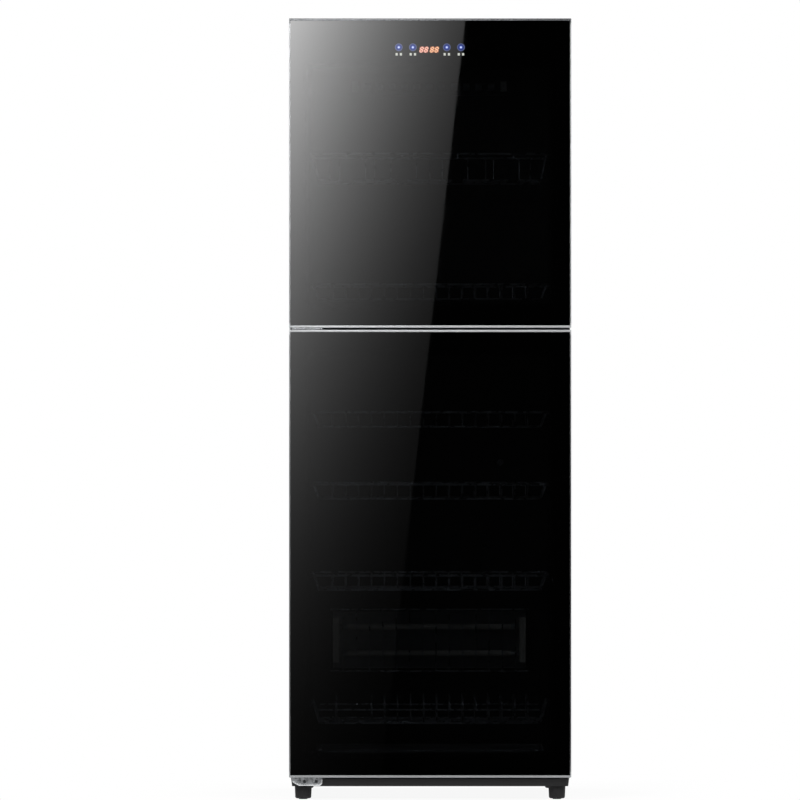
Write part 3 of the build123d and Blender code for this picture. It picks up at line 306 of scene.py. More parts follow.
def lined_metal(name, dark, light, roughness, along):
    """Brushed, drawn or extruded metal: hairlines along one axis, so noise squeezed across it and drawn out
    along it, in shade, gloss and a shallow bump."""
    made, tree, place = new_finish(name)
    # Hairlines are 0.1 to 0.3 mm apart on the real part, drawn 1.6 mm apart so that they still show
    drawn = add(tree, "Mapping", {"Scale": drawn_along(along, 0.012)}, {"Vector": place})
    hair = add(tree, "TexNoise", {"Scale": per_metre(1.6), "Detail": 3.0, "Roughness": 0.55}, {"Vector": drawn})
    tint = add(tree, "Mix", {6: colour(dark), 7: colour(light)}, {0: hair}, data_type="RGBA")
    gloss = add(tree, "MapRange", {1: 0.3, 2: 0.7, 3: roughness - 0.07, 4: roughness + 0.07}, {0: hair})
    bump = add(tree, "Bump", {"Strength": 0.15, "Distance": 0.0001}, {"Height": hair})
    shader = add(tree, "BsdfPrincipled", {"Metallic": 1.0}, {
        "Base Color": tint.outputs[2], "Roughness": gloss, "Normal": bump})
    add(tree, "OutputMaterial", links={"Surface": shader})
    return made


def galvanised_sheet(name, dark, light):
    """Hot-dip zinc on sheet steel: frozen crystal spangles, each flat patch with its own shade and gloss."""
    made, tree, place = new_finish(name)
    bend = add(tree, "TexNoise", {"Scale": per_metre(25), "Detail": 2.0}, {"Vector": place})
    swirl = add(tree, "VectorMath", {3: 0.012}, {0: bend.outputs["Color"]}, operation="SCALE")
    moved = add(tree, "VectorMath", {}, {0: place, 1: swirl}, operation="ADD")
    crystal = add(tree, "TexVoronoi", {"Scale": per_metre(12)}, {"Vector": moved})
    patch = add(tree, "SeparateColor", {}, {0: crystal.outputs["Color"]})
    tint = add(tree, "Mix", {6: colour(dark), 7: colour(light)}, {0: patch}, data_type="RGBA")
    gloss = add(tree, "MapRange", {3: 0.30, 4: 0.48}, {0: patch.outputs[1]})
    bump = add(tree, "Bump", {"Strength": 0.1, "Distance": 0.0002}, {"Height": crystal.outputs["Distance"]})
    shader = add(tree, "BsdfPrincipled", {"Metallic": 1.0}, {
        "Base Color": tint.outputs[2], "Roughness": gloss, "Normal": bump})
    add(tree, "OutputMaterial", links={"Surface": shader})
    return made


def flake_paint(name, dark, light, roughness, metallic):
    """Silver paint on a moulding: aluminium flakes that lie flat in a clear lacquer and sparkle one by one."""
    made, tree, place = new_finish(name)
    # Flakes are under 0.1 mm, drawn as 1.5 mm patches so that they still show
    flake = add(tree, "TexVoronoi", {"Scale": per_metre(1.5)}, {"Vector": place})
    drift = add(tree, "TexNoise", {"Scale": per_metre(60), "Detail": 2.0}, {"Vector": place})
    speck = add(tree, "SeparateColor", {}, {0: flake.outputs["Color"]})
    tint = add(tree, "Mix", {6: colour(dark), 7: colour(light)}, {0: drift}, data_type="RGBA")
    gloss = add(tree, "MapRange", {3: roughness - 0.05, 4: roughness + 0.05}, {0: speck.outputs[1]})
    shader = add(tree, "BsdfPrincipled", {"Metallic": metallic}, {
        "Base Color": tint.outputs[2], "Roughness": gloss})
    add(tree, "OutputMaterial", links={"Surface": shader})
    return made


def tinted_glass(name, low, high):
    """Dark tinted float glass with a black printed border: a polished face over a window, whose lower and upper
    ends are given in metres. Each face lets about a third of the light through, and both together an eighth.
    The border is opaque, and so is the band behind the controls."""
    made, tree, place = new_finish(name)
    axis = add(tree, "SeparateXYZ", {}, {0: place})
    side = add(tree, "Math", {}, {0: axis.outputs[0]}, operation="ABSOLUTE")
    # The print fades out over 25 mm in a fine dot screen
    half, fade, soft = 0.262, 0.025, {"interpolation_type": "SMOOTHSTEP"}
    across = add(tree, "MapRange", {1: half, 2: half - fade}, {0: side}, **soft)
    above = add(tree, "MapRange", {1: low, 2: low + fade}, {0: axis.outputs[2]}, **soft)
    below = add(tree, "MapRange", {1: high, 2: high - fade}, {0: axis.outputs[2]}, **soft)
    upright = add(tree, "Math", {}, {0: above, 1: below}, operation="MULTIPLY")
    window = add(tree, "Math", {}, {0: across, 1: upright}, operation="MULTIPLY")
    tint = add(tree, "Mix", {6: (0, 0, 0, 1), 7: colour("#a2a4a6")}, {0: window}, data_type="RGBA")
    # Rolled glass is never quite flat: the waves are a hand's width long
    wave = add(tree, "TexNoise", {"Scale": per_metre(140), "Detail": 1.0}, {"Vector": place})
    bump = add(tree, "Bump", {"Strength": 0.01, "Distance": 0.001}, {"Height": wave})
    smear = add(tree, "TexNoise", {"Scale": per_metre(70), "Detail": 4.0}, {"Vector": place})
    gloss = add(tree, "MapRange", {1: 0.3, 2: 0.7, 3: 0.012, 4: 0.03}, {0: smear})
    # The far face, seen through the tint, adds next to no reflection of its own
    outer = add(tree, "MapRange", {3: 0.5, 4: 0.0}, {0: add(tree, "NewGeometry").outputs["Backfacing"]})
    face = add(tree, "BsdfPrincipled", {"Base Color": colour("#010101"), "IOR": 1.52}, {
        "Roughness": gloss, "Normal": bump, "Specular IOR Level": outer})
    through = add(tree, "BsdfTransparent", {}, {"Color": tint.outputs[2]})
    both = add(tree, "AddShader", {}, {0: face, 1: through})
    add(tree, "OutputMaterial", links={"Surface": both})
    return made


def drawn_tube(name, dark, light, alpha, roughness):
    """Drawn glass or quartz tube: long draw lines along X, and haze that leaves it partly clear."""
    made, tree, place = new_finish(name)
    drawn = add(tree, "Mapping", {"Scale": drawn_along("X", 0.03)}, {"Vector": place})
    line = add(tree, "TexNoise", {"Scale": per_metre(3), "Detail": 3.0}, {"Vector": drawn})
    tint = add(tree, "Mix", {6: colour(dark), 7: colour(light)}, {0: line}, data_type="RGBA")
    haze = add(tree, "MapRange", {1: 0.3, 2: 0.7, 3: alpha - 0.12, 4: alpha + 0.12}, {0: line})
    shader = add(tree, "BsdfPrincipled", {"IOR": 1.46, "Roughness": roughness}, {
        "Base Color": tint.outputs[2], "Alpha": haze})
    add(tree, "OutputMaterial", links={"Surface": shader})
    return made


def fired_ceramic(name, dark, light):
    """Unglazed steatite: a chalky body with fine dark specks and a dry, grainy skin."""
    made, tree, place = new_finish(name)
    grain = add(tree, "TexNoise", {"Scale": per_metre(2), "Detail": 5.0}, {"Vector": place})
    speck = add(tree, "TexVoronoi", {"Scale": per_metre(4)}, {"Vector": place})
    dots = add(tree, "MapRange", {1: 0.05, 2: 0.16}, {0: speck})
    tint = add(tree, "Mix", {6: colour(dark), 7: colour(light)}, {0: dots}, data_type="RGBA")
    bump = add(tree, "Bump", {"Strength": 0.3, "Distance": 0.0003}, {"Height": grain})
    shader = add(tree, "BsdfPrincipled", {"IOR": 1.55, "Roughness": 0.82}, {
        "Base Color": tint.outputs[2], "Normal": bump})
    add(tree, "OutputMaterial", links={"Surface": shader})
    return made


def felted_wool(name, dark, light):
    """Glass wool batt: short fibres laid in all directions, bound yellow, matt and soft at the surface."""
    made, tree, place = new_finish(name)
    laid = add(tree, "Mapping", {"Scale": drawn_along("Y", 0.15), "Rotation": (0.4, 0.3, 0.7)}, {
        "Vector": place})
    fibre = add(tree, "TexNoise", {"Scale": per_metre(4), "Detail": 6.0, "Roughness": 0.7}, {"Vector": laid})
    tint = add(tree, "Mix", {6: colour(dark), 7: colour(light)}, {0: fibre}, data_type="RGBA")
    bump = add(tree, "Bump", {"Strength": 0.6, "Distance": 0.002}, {"Height": fibre})
    shader = add(tree, "BsdfPrincipled", {"Roughness": 0.95, "Sheen Weight": 0.3}, {
        "Base Color": tint.outputs[2], "Normal": bump})
    add(tree, "OutputMaterial", links={"Surface": shader})
    return made


def solder_mask(name, dark, light):
    """Green lacquer over copper tracks: a grid of paler lines stands under the gloss."""
    made, tree, place = new_finish(name)
    tracks = add(tree, "TexBrick", {"Scale": per_metre(60), "Mortar Size": 0.06, "Color1": colour(dark),
                                    "Color2": colour(dark), "Mortar": colour(light)}, {"Vector": place})
    relief = add(tree, "Bump", {"Strength": 0.2, "Distance": 0.0002}, {"Height": tracks.outputs[1]})
    shader = add(tree, "BsdfPrincipled", {"IOR": 1.55, "Roughness": 0.3}, {
        "Base Color": tracks, "Normal": relief})
    add(tree, "OutputMaterial", links={"Surface": shader})
    return made


def lit_mark(name, *stops):
    """Light that shows through the glass: its colour runs from the middle of the mark to its rim."""
    made, tree, _ = new_finish(name)
    across = add(tree, "Attribute", attribute_name="across")
    glow = add(tree, "ValToRGB", {}, {0: across.outputs["Fac"]})
    ramp = glow.color_ramp.elements
    while len(ramp) < len(stops):
        ramp.new(0.5)
    for element, (at, code) in zip(ramp, stops):
        element.position = at
        element.color = colour(code)
    shader = add(tree, "BsdfPrincipled", {"Base Color": colour("#050506"), "Roughness": 0.1, "IOR": 1.52,
                                          "Emission Strength": 1.0}, {"Emission Color": glow})
    add(tree, "OutputMaterial", links={"Surface": shader})
    return made


powder_black = coated_steel("satin_black_powder_coat_on_steel", "#0f1011", "#242628", 0.48, 5.0, 0.5)
# The liners are coloured dark charcoal as painted shade for the dim inside of the closed chambers
liner_painted_shade = coated_steel("dark_liner_painted_shade", "#1e1f21", "#252628", 0.46, 9.0, 0.02)
galvanised = galvanised_sheet("hot_dip_galvanised_sheet", "#b3b7ba", "#c6c9cc")
stainless = lined_metal("brushed_stainless_tray_sheet", "#a3a4a6", "#c9cacb", 0.32, "X")
zinc_rail = lined_metal("bright_zinc_rolled_rail", "#b9bdc1", "#d6d9db", 0.3, "Y")
glass_wool = felted_wool("bound_glass_wool_felt", "#b79a3f", "#e2cf86")
plastic_black = moulded_plastic("black_moulded_polypropylene", "#0a0a0b", "#101011", 0.75, ior=1.49)
foot_black = moulded_plastic("black_moulded_nylon_foot", "#060607", "#0c0c0d", 0.82)
plastic_white = moulded_plastic("white_moulded_lamp_socket_plastic", "#dcdad3", "#eeece6", 0.28, depth=0.08)
chrome_wire = plated_metal("bright_chrome_on_drawn_wire", "#c3c6ca", "#e4e6e9", 0.3)
chrome_plate = plated_metal("bright_chrome_on_pressed_plate", "#bcbfc3", "#e2e4e6", 0.26, 9.0)
# The rolled edge is the hinge plate's chrome made paler: a painted highlight along the bead
chrome_bead_lit_copy = plated_metal("chrome_on_rolled_edge_painted_highlight", "#eceef0", "#f8f9fa", 0.4, 9.0)
black_screw = plated_metal("blackened_zinc_screw_steel", "#3a3b3d", "#56585a", 0.34, 3.0)
polished = lined_metal("polished_aluminium_sheet", "#c2c4c6", "#d9dbdc", 0.34, "X")
# The lamp guard is the reflector's aluminium made a darker grey: painted shade that keeps it dim behind the
# glass
guard_aluminium_painted_shade = lined_metal("darkened_aluminium_guard_sheet_painted_shade", "#46484b", "#525457", 0.42, "X")
anodised = lined_metal("satin_anodised_aluminium_extrusion", "#bcbec0", "#c8cacc", 0.36, "Z")
anodised_rail = lined_metal("satin_anodised_aluminium_cross_rail", "#bcbec0", "#c8cacc", 0.36, "X")
# The door caps are all one silver flake paint: the paler copy on the caps beside the middle gap is painted
# light, and the grey copy on the upper door's top cap is painted shade
silver_cap = flake_paint("silver_flake_paint_on_abs", "#b6b8ba", "#c4c6c8", 0.34, 0.6)
silver_cap_lit_copy = flake_paint("silver_flake_paint_on_abs_painted_highlight", "#d4d6d8", "#e2e4e6", 0.34, 0.6)
silver_cap_shaded_copy = flake_paint("silver_flake_paint_on_abs_painted_shade", "#85878a", "#8f9194", 0.3, 0.8)
upper_glass = tinted_glass("dark_float_glass_upper_door", 1.005, 1.519)
lower_glass = tinted_glass("dark_float_glass_lower_door", 0.080, 0.932)
rubber_grey = moulded_plastic("grey_extruded_magnetic_gasket_pvc", "#606163", "#6d6e70", 0.66, 5.0, 0.1)
acetal = moulded_plastic("white_acetal_bearing_bush", "#dedbd2", "#eceae3", 0.4, depth=0.06, ior=1.48)
board_green = solder_mask("green_solder_mask_board", "#0d4a22", "#1c7038")
guide_blue = moulded_plastic("clear_acrylic_light_guide", "#8fb0e8", "#b9d0f6", 0.12, 12.0, 0.03, 1.49)
lamp_tube = drawn_tube("clear_drawn_lamp_glass", "#dfe4f2", "#f2f5fb", 0.6, 0.06)
milky_quartz = drawn_tube("milky_drawn_quartz", "#e7e0d6", "#f6f2ea", 0.84, 0.28)
steatite = fired_ceramic("unglazed_steatite", "#a79c88", "#e6e1d5")
digit_pink = lit_mark("rose_seven_segment_light", (0.0, "#fff0ea"), (0.6, "#ffc4b2"), (1.0, "#e88468"))
digit_amber = lit_mark("amber_seven_segment_light", (0.0, "#fff2dc"), (0.6, "#ffc494"), (1.0, "#ea8a4e"))
key_light = lit_mark(
    "blue_touch_key_light", (0.0, "#f4f7ff"), (0.17, "#c3d2ff"), (0.33, "#3450b4"), (0.55, "#1b2c72"),
    (0.78, "#23326f"), (0.9, "#56628f"), (1.0, "#3f465c"))
digit_glow = lit_mark(
    "red_glow_behind_the_digits", (0.0, "#d89a84"), (0.6, "#b06a54"), (0.85, "#5a2419"), (1.0, "#3a1c16"))
mark_ink = lit_mark("white_key_mark_light", (0.0, "#e8ebe2"), (1.0, "#cdd0c6"))

FINISHES = {
    powder_black: ["side_panel_left", "side_panel_right", "top_panel", "front_frame"],
    liner_painted_shade: ["upper_liner", "lower_liner"],
    galvanised: ["back_panel", "bottom_plate", "mid_beam"],
    zinc_rail: ["upper_rails", "lower_rails"],
    glass_wool: ["lower_insulation"],
    plastic_black: ["base_plinth", "control_housing", "power_board_case", "door_sensors", "cord_gland",
                    "display_module"],
    plastic_white: ["uv_lamp_sockets"],
    chrome_wire: ["stemware_rack", "cup_rack", "bowl_rack", "dish_rack", "deep_dish_rack", "plate_rack",
                  "heater_guard"],
    chrome_plate: ["top_hinge_plate", "mid_hinge_plate", "bottom_hinge_plate", "hinge_pins",
                   "temperature_sensor"],
    polished: ["heater_reflector"],
    guard_aluminium_painted_shade: ["uv_lamp_guard"],
    anodised: ["upper_door_stiles", "lower_door_stiles"],
    anodised_rail: ["upper_door_rails", "lower_door_rails"],
    silver_cap: ["lower_door_bottom_cap"],
    silver_cap_lit_copy: ["upper_door_bottom_cap", "lower_door_top_cap"],
    silver_cap_shaded_copy: ["upper_door_top_cap"],
    upper_glass: ["upper_door_glass"],
    lower_glass: ["lower_door_glass"],
    acetal: ["upper_door_bushes", "lower_door_bushes"],
    board_green: ["control_board", "power_board"],
    guide_blue: ["touch_key_lights"],
    lamp_tube: ["uv_lamp_tube"],
    milky_quartz: ["quartz_tubes"],
    steatite: ["tube_holders"],
}
for finish, names in FINISHES.items():
    for name in names:
        nodes[name].data.materials.clear()
        nodes[name].data.materials.append(finish)


# Controls that shine through the upper door's glass


def in_a_row(across, height):
    """Middles of marks that stand at these places across the door, all at one height."""
    return np.stack([across, np.full(len(across), height)], -1)


def seven_segments():
    """Outlines of the bars of four slanted figures. A bar is a long hexagon: half its length runs out to each
    tip and its half width stops short of the tips by itself. Upright bars are turned by a right angle, and
    every point then moves right by its height times the slant."""
    height, width, stroke, gap, slant = 12.2, 8.2, 2.3, 0.12, math.tan(math.radians(16))
    rise, reach = (height - stroke) / 2, (width - stroke) / 2
    half = stroke / 2
    flat = reach - gap
    tall = rise / 2 - gap
    hexagon = np.array([(-1, 0), (-1, -1), (1, -1), (1, 0), (1, 1), (-1, 1)], float)
    inset = np.array([0, 1, 1, 0, 1, 1], float)
    lying = np.stack([hexagon[:, 0] * (flat - inset * half), hexagon[:, 1] * half], -1)
    standing = np.stack([-hexagon[:, 1] * half, hexagon[:, 0] * (tall - inset * half)], -1)
    places = np.array([(0, rise), (0, 0), (0, -rise), (-reach, rise / 2), (reach, rise / 2),
                       (-reach, -rise / 2), (reach, -rise / 2)])
    figure = np.where((np.arange(7) < 3)[:, None, None], lying[None], standing[None]) + places[:, None]
    figure[..., 0] += figure[..., 1] * slant
    return (in_a_row(DIGITS, DIGIT_HEIGHT)[:, None, None] + figure[None]).reshape(-1, 6, 2)


def superellipses(middles, half_width, half_height, power, steps=24):
    """Outlines round several middles: x is half the width times cos a to the power 2 / n, with its sign kept,
    and z is half the height times sin a likewise. A high n gives a bar with round corners, and n of 2 an
    ellipse."""
    angle = np.linspace(0, 2 * np.pi, steps, endpoint=False)
    ring = np.stack([np.cos(angle), np.sin(angle)], -1)
    shape = np.sign(ring) * np.abs(ring) ** (2 / power) * (half_width, half_height)
    return np.asarray(middles, float)[:, None] + shape[None]


def film(name, outlines, finish, lift, rings):
    """A lit mark as a film on the glass: a flat back, a short edge and a face whose rings carry their share of
    the way from the middle to the rim."""
    shares = np.concatenate([[0, 1], np.linspace(1, 0, rings)])
    depths = np.concatenate([[GLASS_FACE] * 2, np.full(rings, GLASS_FACE - lift)])
    points, faces = pads(outlines, shares, depths)
    marks = np.broadcast_to(shares[None, :, None], points.shape[:3])
    piece(name, points, faces, finish, "upper_door", marks=marks)


film("display_glow", superellipses(in_a_row(DIGITS, DIGIT_HEIGHT), 5.0, 7.2, 4), digit_glow, 0.05, 10)
figures = seven_segments()
left_pair = len(figures) // 2
film("display_digits_left", figures[:left_pair], digit_pink, 0.2, 4)
film("display_digits_right", figures[left_pair:], digit_amber, 0.2, 4)
film("touch_key_glow", superellipses(in_a_row(KEYS, KEY_HEIGHT), 8.0, 8.0, 2, 40), key_light, 0.12, 16)

# Under each key are two stacks of three bars
STACK_OFFSET, STACK_DROP, BAR_PITCH = 4.4, 14.3, 1.75
mark_x = (KEYS[:, None] + STACK_OFFSET * np.array([-1, 1])[None]).ravel()
mark_z = KEY_HEIGHT - STACK_DROP + BAR_PITCH * np.array([-1, 0, 1])
mark_places = np.stack(np.meshgrid(mark_x, mark_z, indexing="ij"), -1).reshape(-1, 2)
film("touch_key_marks", superellipses(mark_places, 2.4, 0.74, 4, 16), mark_ink, 0.12, 3)


# Screws, feet, seals, tray, bead and ribs


def pan_head_screws():
    """Turned screws whose faces carry a cross recess. In the recess the height falls by a depth times two
    ramps, one over the sides of the two crossed slots and one over their ends. Each screw's axis is its
    seat's outward way, and it is turned about that by its own angle."""
    flat, rim, height, shank, length, point = 2.2, 3.5, 2.2, 2.0, 8.0, 0.6
    edge = height / 2
    head = np.concatenate([
        np.stack([np.linspace(0, flat, 10), np.full(10, height)], -1),
        rounded_corner((rim - edge, edge), edge, 90, 0),
        [(rim, 0.0), (shank, 0.0), (shank, point - length), (shank - point, -length), (0.0, -length)],
    ])
    points, faces = turned(head[::-1], 48)
    half_slot, side, reach, end, depth = 0.62, 0.25, 2.1, 0.5, 1.3
    x, y = np.abs(points[..., 0]), np.abs(points[..., 1])
    ramps = (np.clip((half_slot - np.minimum(x, y)) / side, 0, 1)
             * np.clip((reach - np.maximum(x, y)) / end, 0, 1))
    on_face = points[..., 2] > height - 0.2
    points[..., 2] -= np.where(on_face, depth * ramps, 0)
    groups = [TOP_SCREWS, FRONT_SCREWS, BACK_SCREWS]
    seats = np.array(sum(groups, []))
    outward = np.repeat([(0.0, 0, 1), (0, -1, 0), (0, 1, 0)], [len(group) for group in groups], axis=0)
    across = np.where(outward[:, 1:2] > 0, -1.0, 1.0) * (1.0, 0, 0)
    turn = np.radians(np.arange(len(seats)) * 37.0)[:, None]
    first = np.cos(turn) * across + np.sin(turn) * np.cross(outward, across)
    basis = np.stack([first, np.cross(outward, first), outward], 1)
    placed = seats[:, None] + np.einsum("pk,nkj->npj", points.reshape(-1, 3), basis)
    return placed, repeated(faces, len(seats), points.shape[0] * points.shape[1])


points, faces = pan_head_screws()
piece("cross_recess_screws", points, faces, black_screw, "cabinet", ["screws"])


def levelling_foot(x, y):
    """Turned foot on a small pad. Its tapered side is fluted: the radius falls by a small depth times the
    square of the sine of twelve times the angle, faded in over the taper. The stud's thread is a ripple of its
    radius along its height that climbs one pitch in a turn."""
    pad, pad_edge, pad_top = 9.0, 0.6, 1.5
    low, high, heel, edge, taper_low, taper_high, shoulder = 16.5, 17.5, 3.4, 0.6, 4.9, 26.5, 27.2
    stud, stud_edge, thread_low, thread_high, tip = 4.0, 0.6, 27.5, 36.2, 36.5
    share = np.linspace(0, 1, 16)[1:]
    taper = np.stack([low + (high - low) * share, taper_low + (taper_high - taper_low) * share], -1)
    thread = np.stack([np.full(40, stud), np.linspace(thread_low, thread_high, 40)], -1)
    profile = np.concatenate([
        [(0, 0), (pad - pad_edge, 0)], rounded_corner((pad - pad_edge, pad_edge), pad_edge, -90, 0, 4),
        [(pad, pad_top), (low - heel, pad_top)], rounded_corner((low - heel, taper_low), heel, -90, 0), taper,
        rounded_corner((high - edge, shoulder - edge), edge, 0, 90, 4), [(stud, shoulder)], thread,
        [(stud - stud_edge, tip), (0, tip)]])
    points, faces = turned(profile, 96)
    angle = np.arctan2(points[..., 1], points[..., 0])
    radius = np.hypot(points[..., 0], points[..., 1])
    rise = points[..., 2]
    flute_low, flute_high, fade_in, fade_out, flutes, flute_depth = 4.0, 25.2, 3.0, 2.0, 12, 0.6
    fade = np.clip((rise - flute_low) / fade_in, 0, 1) * np.clip((flute_high - rise) / fade_out, 0, 1)
    flute = flute_depth * fade * (radius > pad + 1) * np.sin(flutes * angle) ** 2
    pitch, thread_depth = 1.25, 0.35
    threaded = (rise > thread_low) & (rise < thread_high + 0.1) & (radius > 1)
    ripple = thread_depth * (0.5 - 0.5 * np.cos(2 * np.pi * rise / pitch - angle)) * threaded
    scale = np.divide(radius - flute - ripple, radius, out=np.ones_like(radius), where=radius > 1e-6)
    points[..., :2] *= scale[..., None]
    return points + np.array([x, y, 0.0]), faces


for name, (x, y) in FEET.items():
    points, faces = levelling_foot(x, y)
    piece(f"{name}_moulding", points, faces, foot_black, name, [name], sharp=50)


def bellows_seal(low, high):
    """Extruded seal carried round the door with mitred corners: a point of its section that lies n out from the
    middle line is a rectangle n larger on each side. The section is a barrel with two waists: its half width
    falls by a share of the squared sine of its height, and a little at both edges."""
    depth, half, waist_depth, edge = 7.7, 6.0, 1.5, 0.5
    t = np.linspace(0, 1, 15)
    waist = half - waist_depth * np.sin(2 * np.pi * t) ** 2 - edge * (np.abs(2 * t - 1) > 0.98)
    section = np.concatenate([np.stack([waist, t], -1), np.stack([-waist, t], -1)[::-1]])
    out, y = section[:, 0], DOOR_BACK + depth * section[:, 1]
    wide = HALF_DOOR - SEAL_INSET - half
    tall = (high - low) / 2 - SEAL_INSET - half
    corner = np.array([(-1, -1), (1, -1), (1, 1), (-1, 1)], float)
    x = corner[:, 0:1] * (wide + out[None])
    z = (low + high) / 2 + corner[:, 1:2] * (tall + out[None])
    points = np.stack([x, np.broadcast_to(y[None], x.shape), z], -1)
    return points, lattice(4, len(section), True, True)


for name, ends in DOORS.items():
    points, faces = bellows_seal(*ends)
    piece(f"{name}_bellows_seal", points, faces, rubber_grey, name, [f"{name}_gasket"], sharp=40)


def pressed_tray():
    """Pressed pan: each point of its section gives a ring with round corners, a rectangle drawn in by the
    point's inset at the point's height. The section runs from the middle of the underside, out and up the
    wall, over a rolled rim and down to the middle of the floor. A lip carried along the front is a half round
    at the end of a flat."""
    half_x, y_low, y_high, low, high, sheet, corner = 237.0, -147.0, 140.0, 79.3, 97.3, 1.0, 16.0
    bend, inner_bend, rim, middle, ring, columns = 6.0, 5.0, 0.7, 140.0, 60.0, 48
    section = np.concatenate([
        [(middle, low), (ring, low)], rounded_corner((bend, low + bend), bend, -90, -180),
        [(0.0, high - 1.0)], rounded_corner((rim, high - rim), rim, 180, 0, 9), [(2 * rim, high - 2.0)],
        rounded_corner((2 * rim + inner_bend, low + sheet + inner_bend), inner_bend, 180, 270),
        [(ring, low + sheet), (middle, low + sheet)]])
    angle = np.linspace(0, 2 * np.pi, columns, endpoint=False) + np.pi / columns
    way = np.stack([np.cos(angle), np.sin(angle)], -1)
    inset, z = section[:, 0][:, None], section[:, 1][:, None]
    round_off = np.maximum(corner - inset, 2.0)
    wide, deep = half_x - inset - round_off, (y_high - y_low) / 2 - inset - round_off
    x = np.sign(way[None, :, 0]) * np.maximum(wide, 0) + round_off * way[None, :, 0]
    y = (y_low + y_high) / 2 + np.sign(way[None, :, 1]) * np.maximum(deep, 0) + round_off * way[None, :, 1]
    points = np.stack(np.broadcast_arrays(x, y, z), -1).reshape(-1, 3)
    rows = len(section)
    under = np.arange(columns).tolist()
    floor = ((rows - 1) * columns + np.arange(columns)).tolist()
    pan = [*lattice(rows, columns, wrap_columns=True), under, floor]
    lip_y, roll, inner_roll = -152.5, 2.5, 1.6
    lip = np.concatenate([
        [(y_low + 1.0, high), (lip_y, high)], rounded_corner((lip_y, high - roll), roll, 90, 270, 9),
        [(lip_y + 1.0, high - 2 * roll)], rounded_corner((lip_y, high - roll), inner_roll, 270, 90, 9),
        [(y_low + 1.0, high + inner_roll - roll)]])
    ends = np.array([-half_x + corner, half_x - corner])
    strip = np.stack(np.broadcast_arrays(ends[:, None], lip[None, :, 0], lip[None, :, 1]), -1).reshape(-1, 3)
    start, count = len(points), len(lip)
    left, right = start + np.arange(count), start + count + np.arange(count)
    sides = (np.array(lattice(2, count, wrap_columns=True)) + start).tolist()
    return np.concatenate([points, strip]), [*pan, *sides, left.tolist(), right.tolist()]


points, faces = pressed_tray()
piece("pressed_drip_tray", points, faces, stainless, "drip_tray", ["drip_tray"], sharp=40)


def rolled_edge():
    """Round bead along the lower edge of the bottom hinge plate: a circle carried along a path in the plate's
    face. At a way s from the nearer end its radius is that of a half ball, so both ends close."""
    radius, steps = 1.3, 16
    path = np.concatenate([
        [(-282.6, 37.3)], rounded_corner((-267.7, 38.0), 8.0, -119.7, -90),
        rounded_corner((-229.0, 36.0), 6.0, -90, 0), [(-223.0, 41.5)]])
    way = np.concatenate([[0], np.cumsum(np.hypot(*np.diff(path, axis=0).T))])
    ends = np.linspace(0, radius, 7)
    s = np.concatenate([ends, np.linspace(radius, way[-1] - radius, 90)[1:-1], way[-1] - ends[::-1]])
    x, z = np.interp(s, way, path[:, 0]), np.interp(s, way, path[:, 1])
    run = np.stack([np.gradient(x, s), np.gradient(z, s)], -1)
    run /= np.linalg.norm(run, axis=1, keepdims=True)
    near = np.clip(np.minimum(s, way[-1] - s) / radius, 0, 1)
    reach = (radius * np.sqrt(1 - (1 - near) ** 2))[:, None]
    angle = np.linspace(0, 2 * np.pi, steps, endpoint=False)[None, :]
    points = np.stack([x[:, None] - run[:, 1:] * reach * np.cos(angle), BRACKET_FACE + reach * np.sin(angle),
                       z[:, None] + run[:, :1] * reach * np.cos(angle)], -1)
    return points, lattice(len(s), steps, wrap_columns=True)


points, faces = rolled_edge()
piece("bottom_hinge_rolled_edge", points, faces, chrome_bead_lit_copy, "cabinet", sharp=60)


def pressed_ribs():
    """Upright ribs raised on the back panel. A ring is a slot with round ends, a share of the half width out
    from the middle line: x is that reach times cos a, and z is it times sin a, beyond the line's upper end
    where sin a is positive and its lower end elsewhere. The rise is the height times the squared cosine of
    that share of a right angle. A flat under side just inside the panel closes each rib."""
    half_width, height, sunk, steps = 20.0, 5.2, -0.4, 48
    low, high = RIB_ENDS
    crown = np.linspace(0, 1, 13)
    share = np.concatenate([crown, [1.0, 0.0]])[:, None]
    rise = np.concatenate([height * np.cos(np.pi / 2 * crown) ** 2, [sunk, sunk]])[:, None]
    angle = np.linspace(0, 2 * np.pi, steps, endpoint=False)[None, :] + np.pi / steps
    x = half_width * share * np.cos(angle)
    z = np.where(np.sin(angle) > 0, high, low) + half_width * share * np.sin(angle)
    rib = np.stack(np.broadcast_arrays(x, BACK_FACE + rise, z), -1)
    places = RIBS[:, None, None, None] * (1.0, 0, 0)
    rows = len(share)
    return places + rib[None], repeated(lattice(rows, steps, wrap_columns=True), len(RIBS), rows * steps)


points, faces = pressed_ribs()
piece("back_panel_pressed_ribs", points, faces, galvanised, "cabinet", sharp=60)


# Lamp and heater ends


def ferrules(places, radius, length):
    """Turned caps on the ends of tubes that lie along X: a short sleeve with round edges, its height laid
    along X."""
    wall, edge = 0.6, 0.4
    profile = np.concatenate([
        [(radius - wall, 0)], rounded_corner((radius - edge, edge), edge, -90, 0, 4),
        rounded_corner((radius - edge, length - edge), edge, 0, 90, 4), [(radius - wall, length)]])
    points, faces = turned(np.concatenate([profile, profile[:1]]), 40)
    laid = np.stack([points[..., 2], points[..., 0], points[..., 1]], -1).reshape(-1, 3)
    return np.array(places)[:, None] + laid[None], repeated(faces, len(places), len(laid))


for name, places, radius, length in (
    ("lamp_tube_ferrules", LAMP_ENDS, 8.7, 13.0),
    ("heater_tube_ferrules", HEATER_ENDS, 6.7, 18.0),
):
    points, faces = ferrules(places, radius, length)
    piece(name, points, faces, polished, "cabinet")

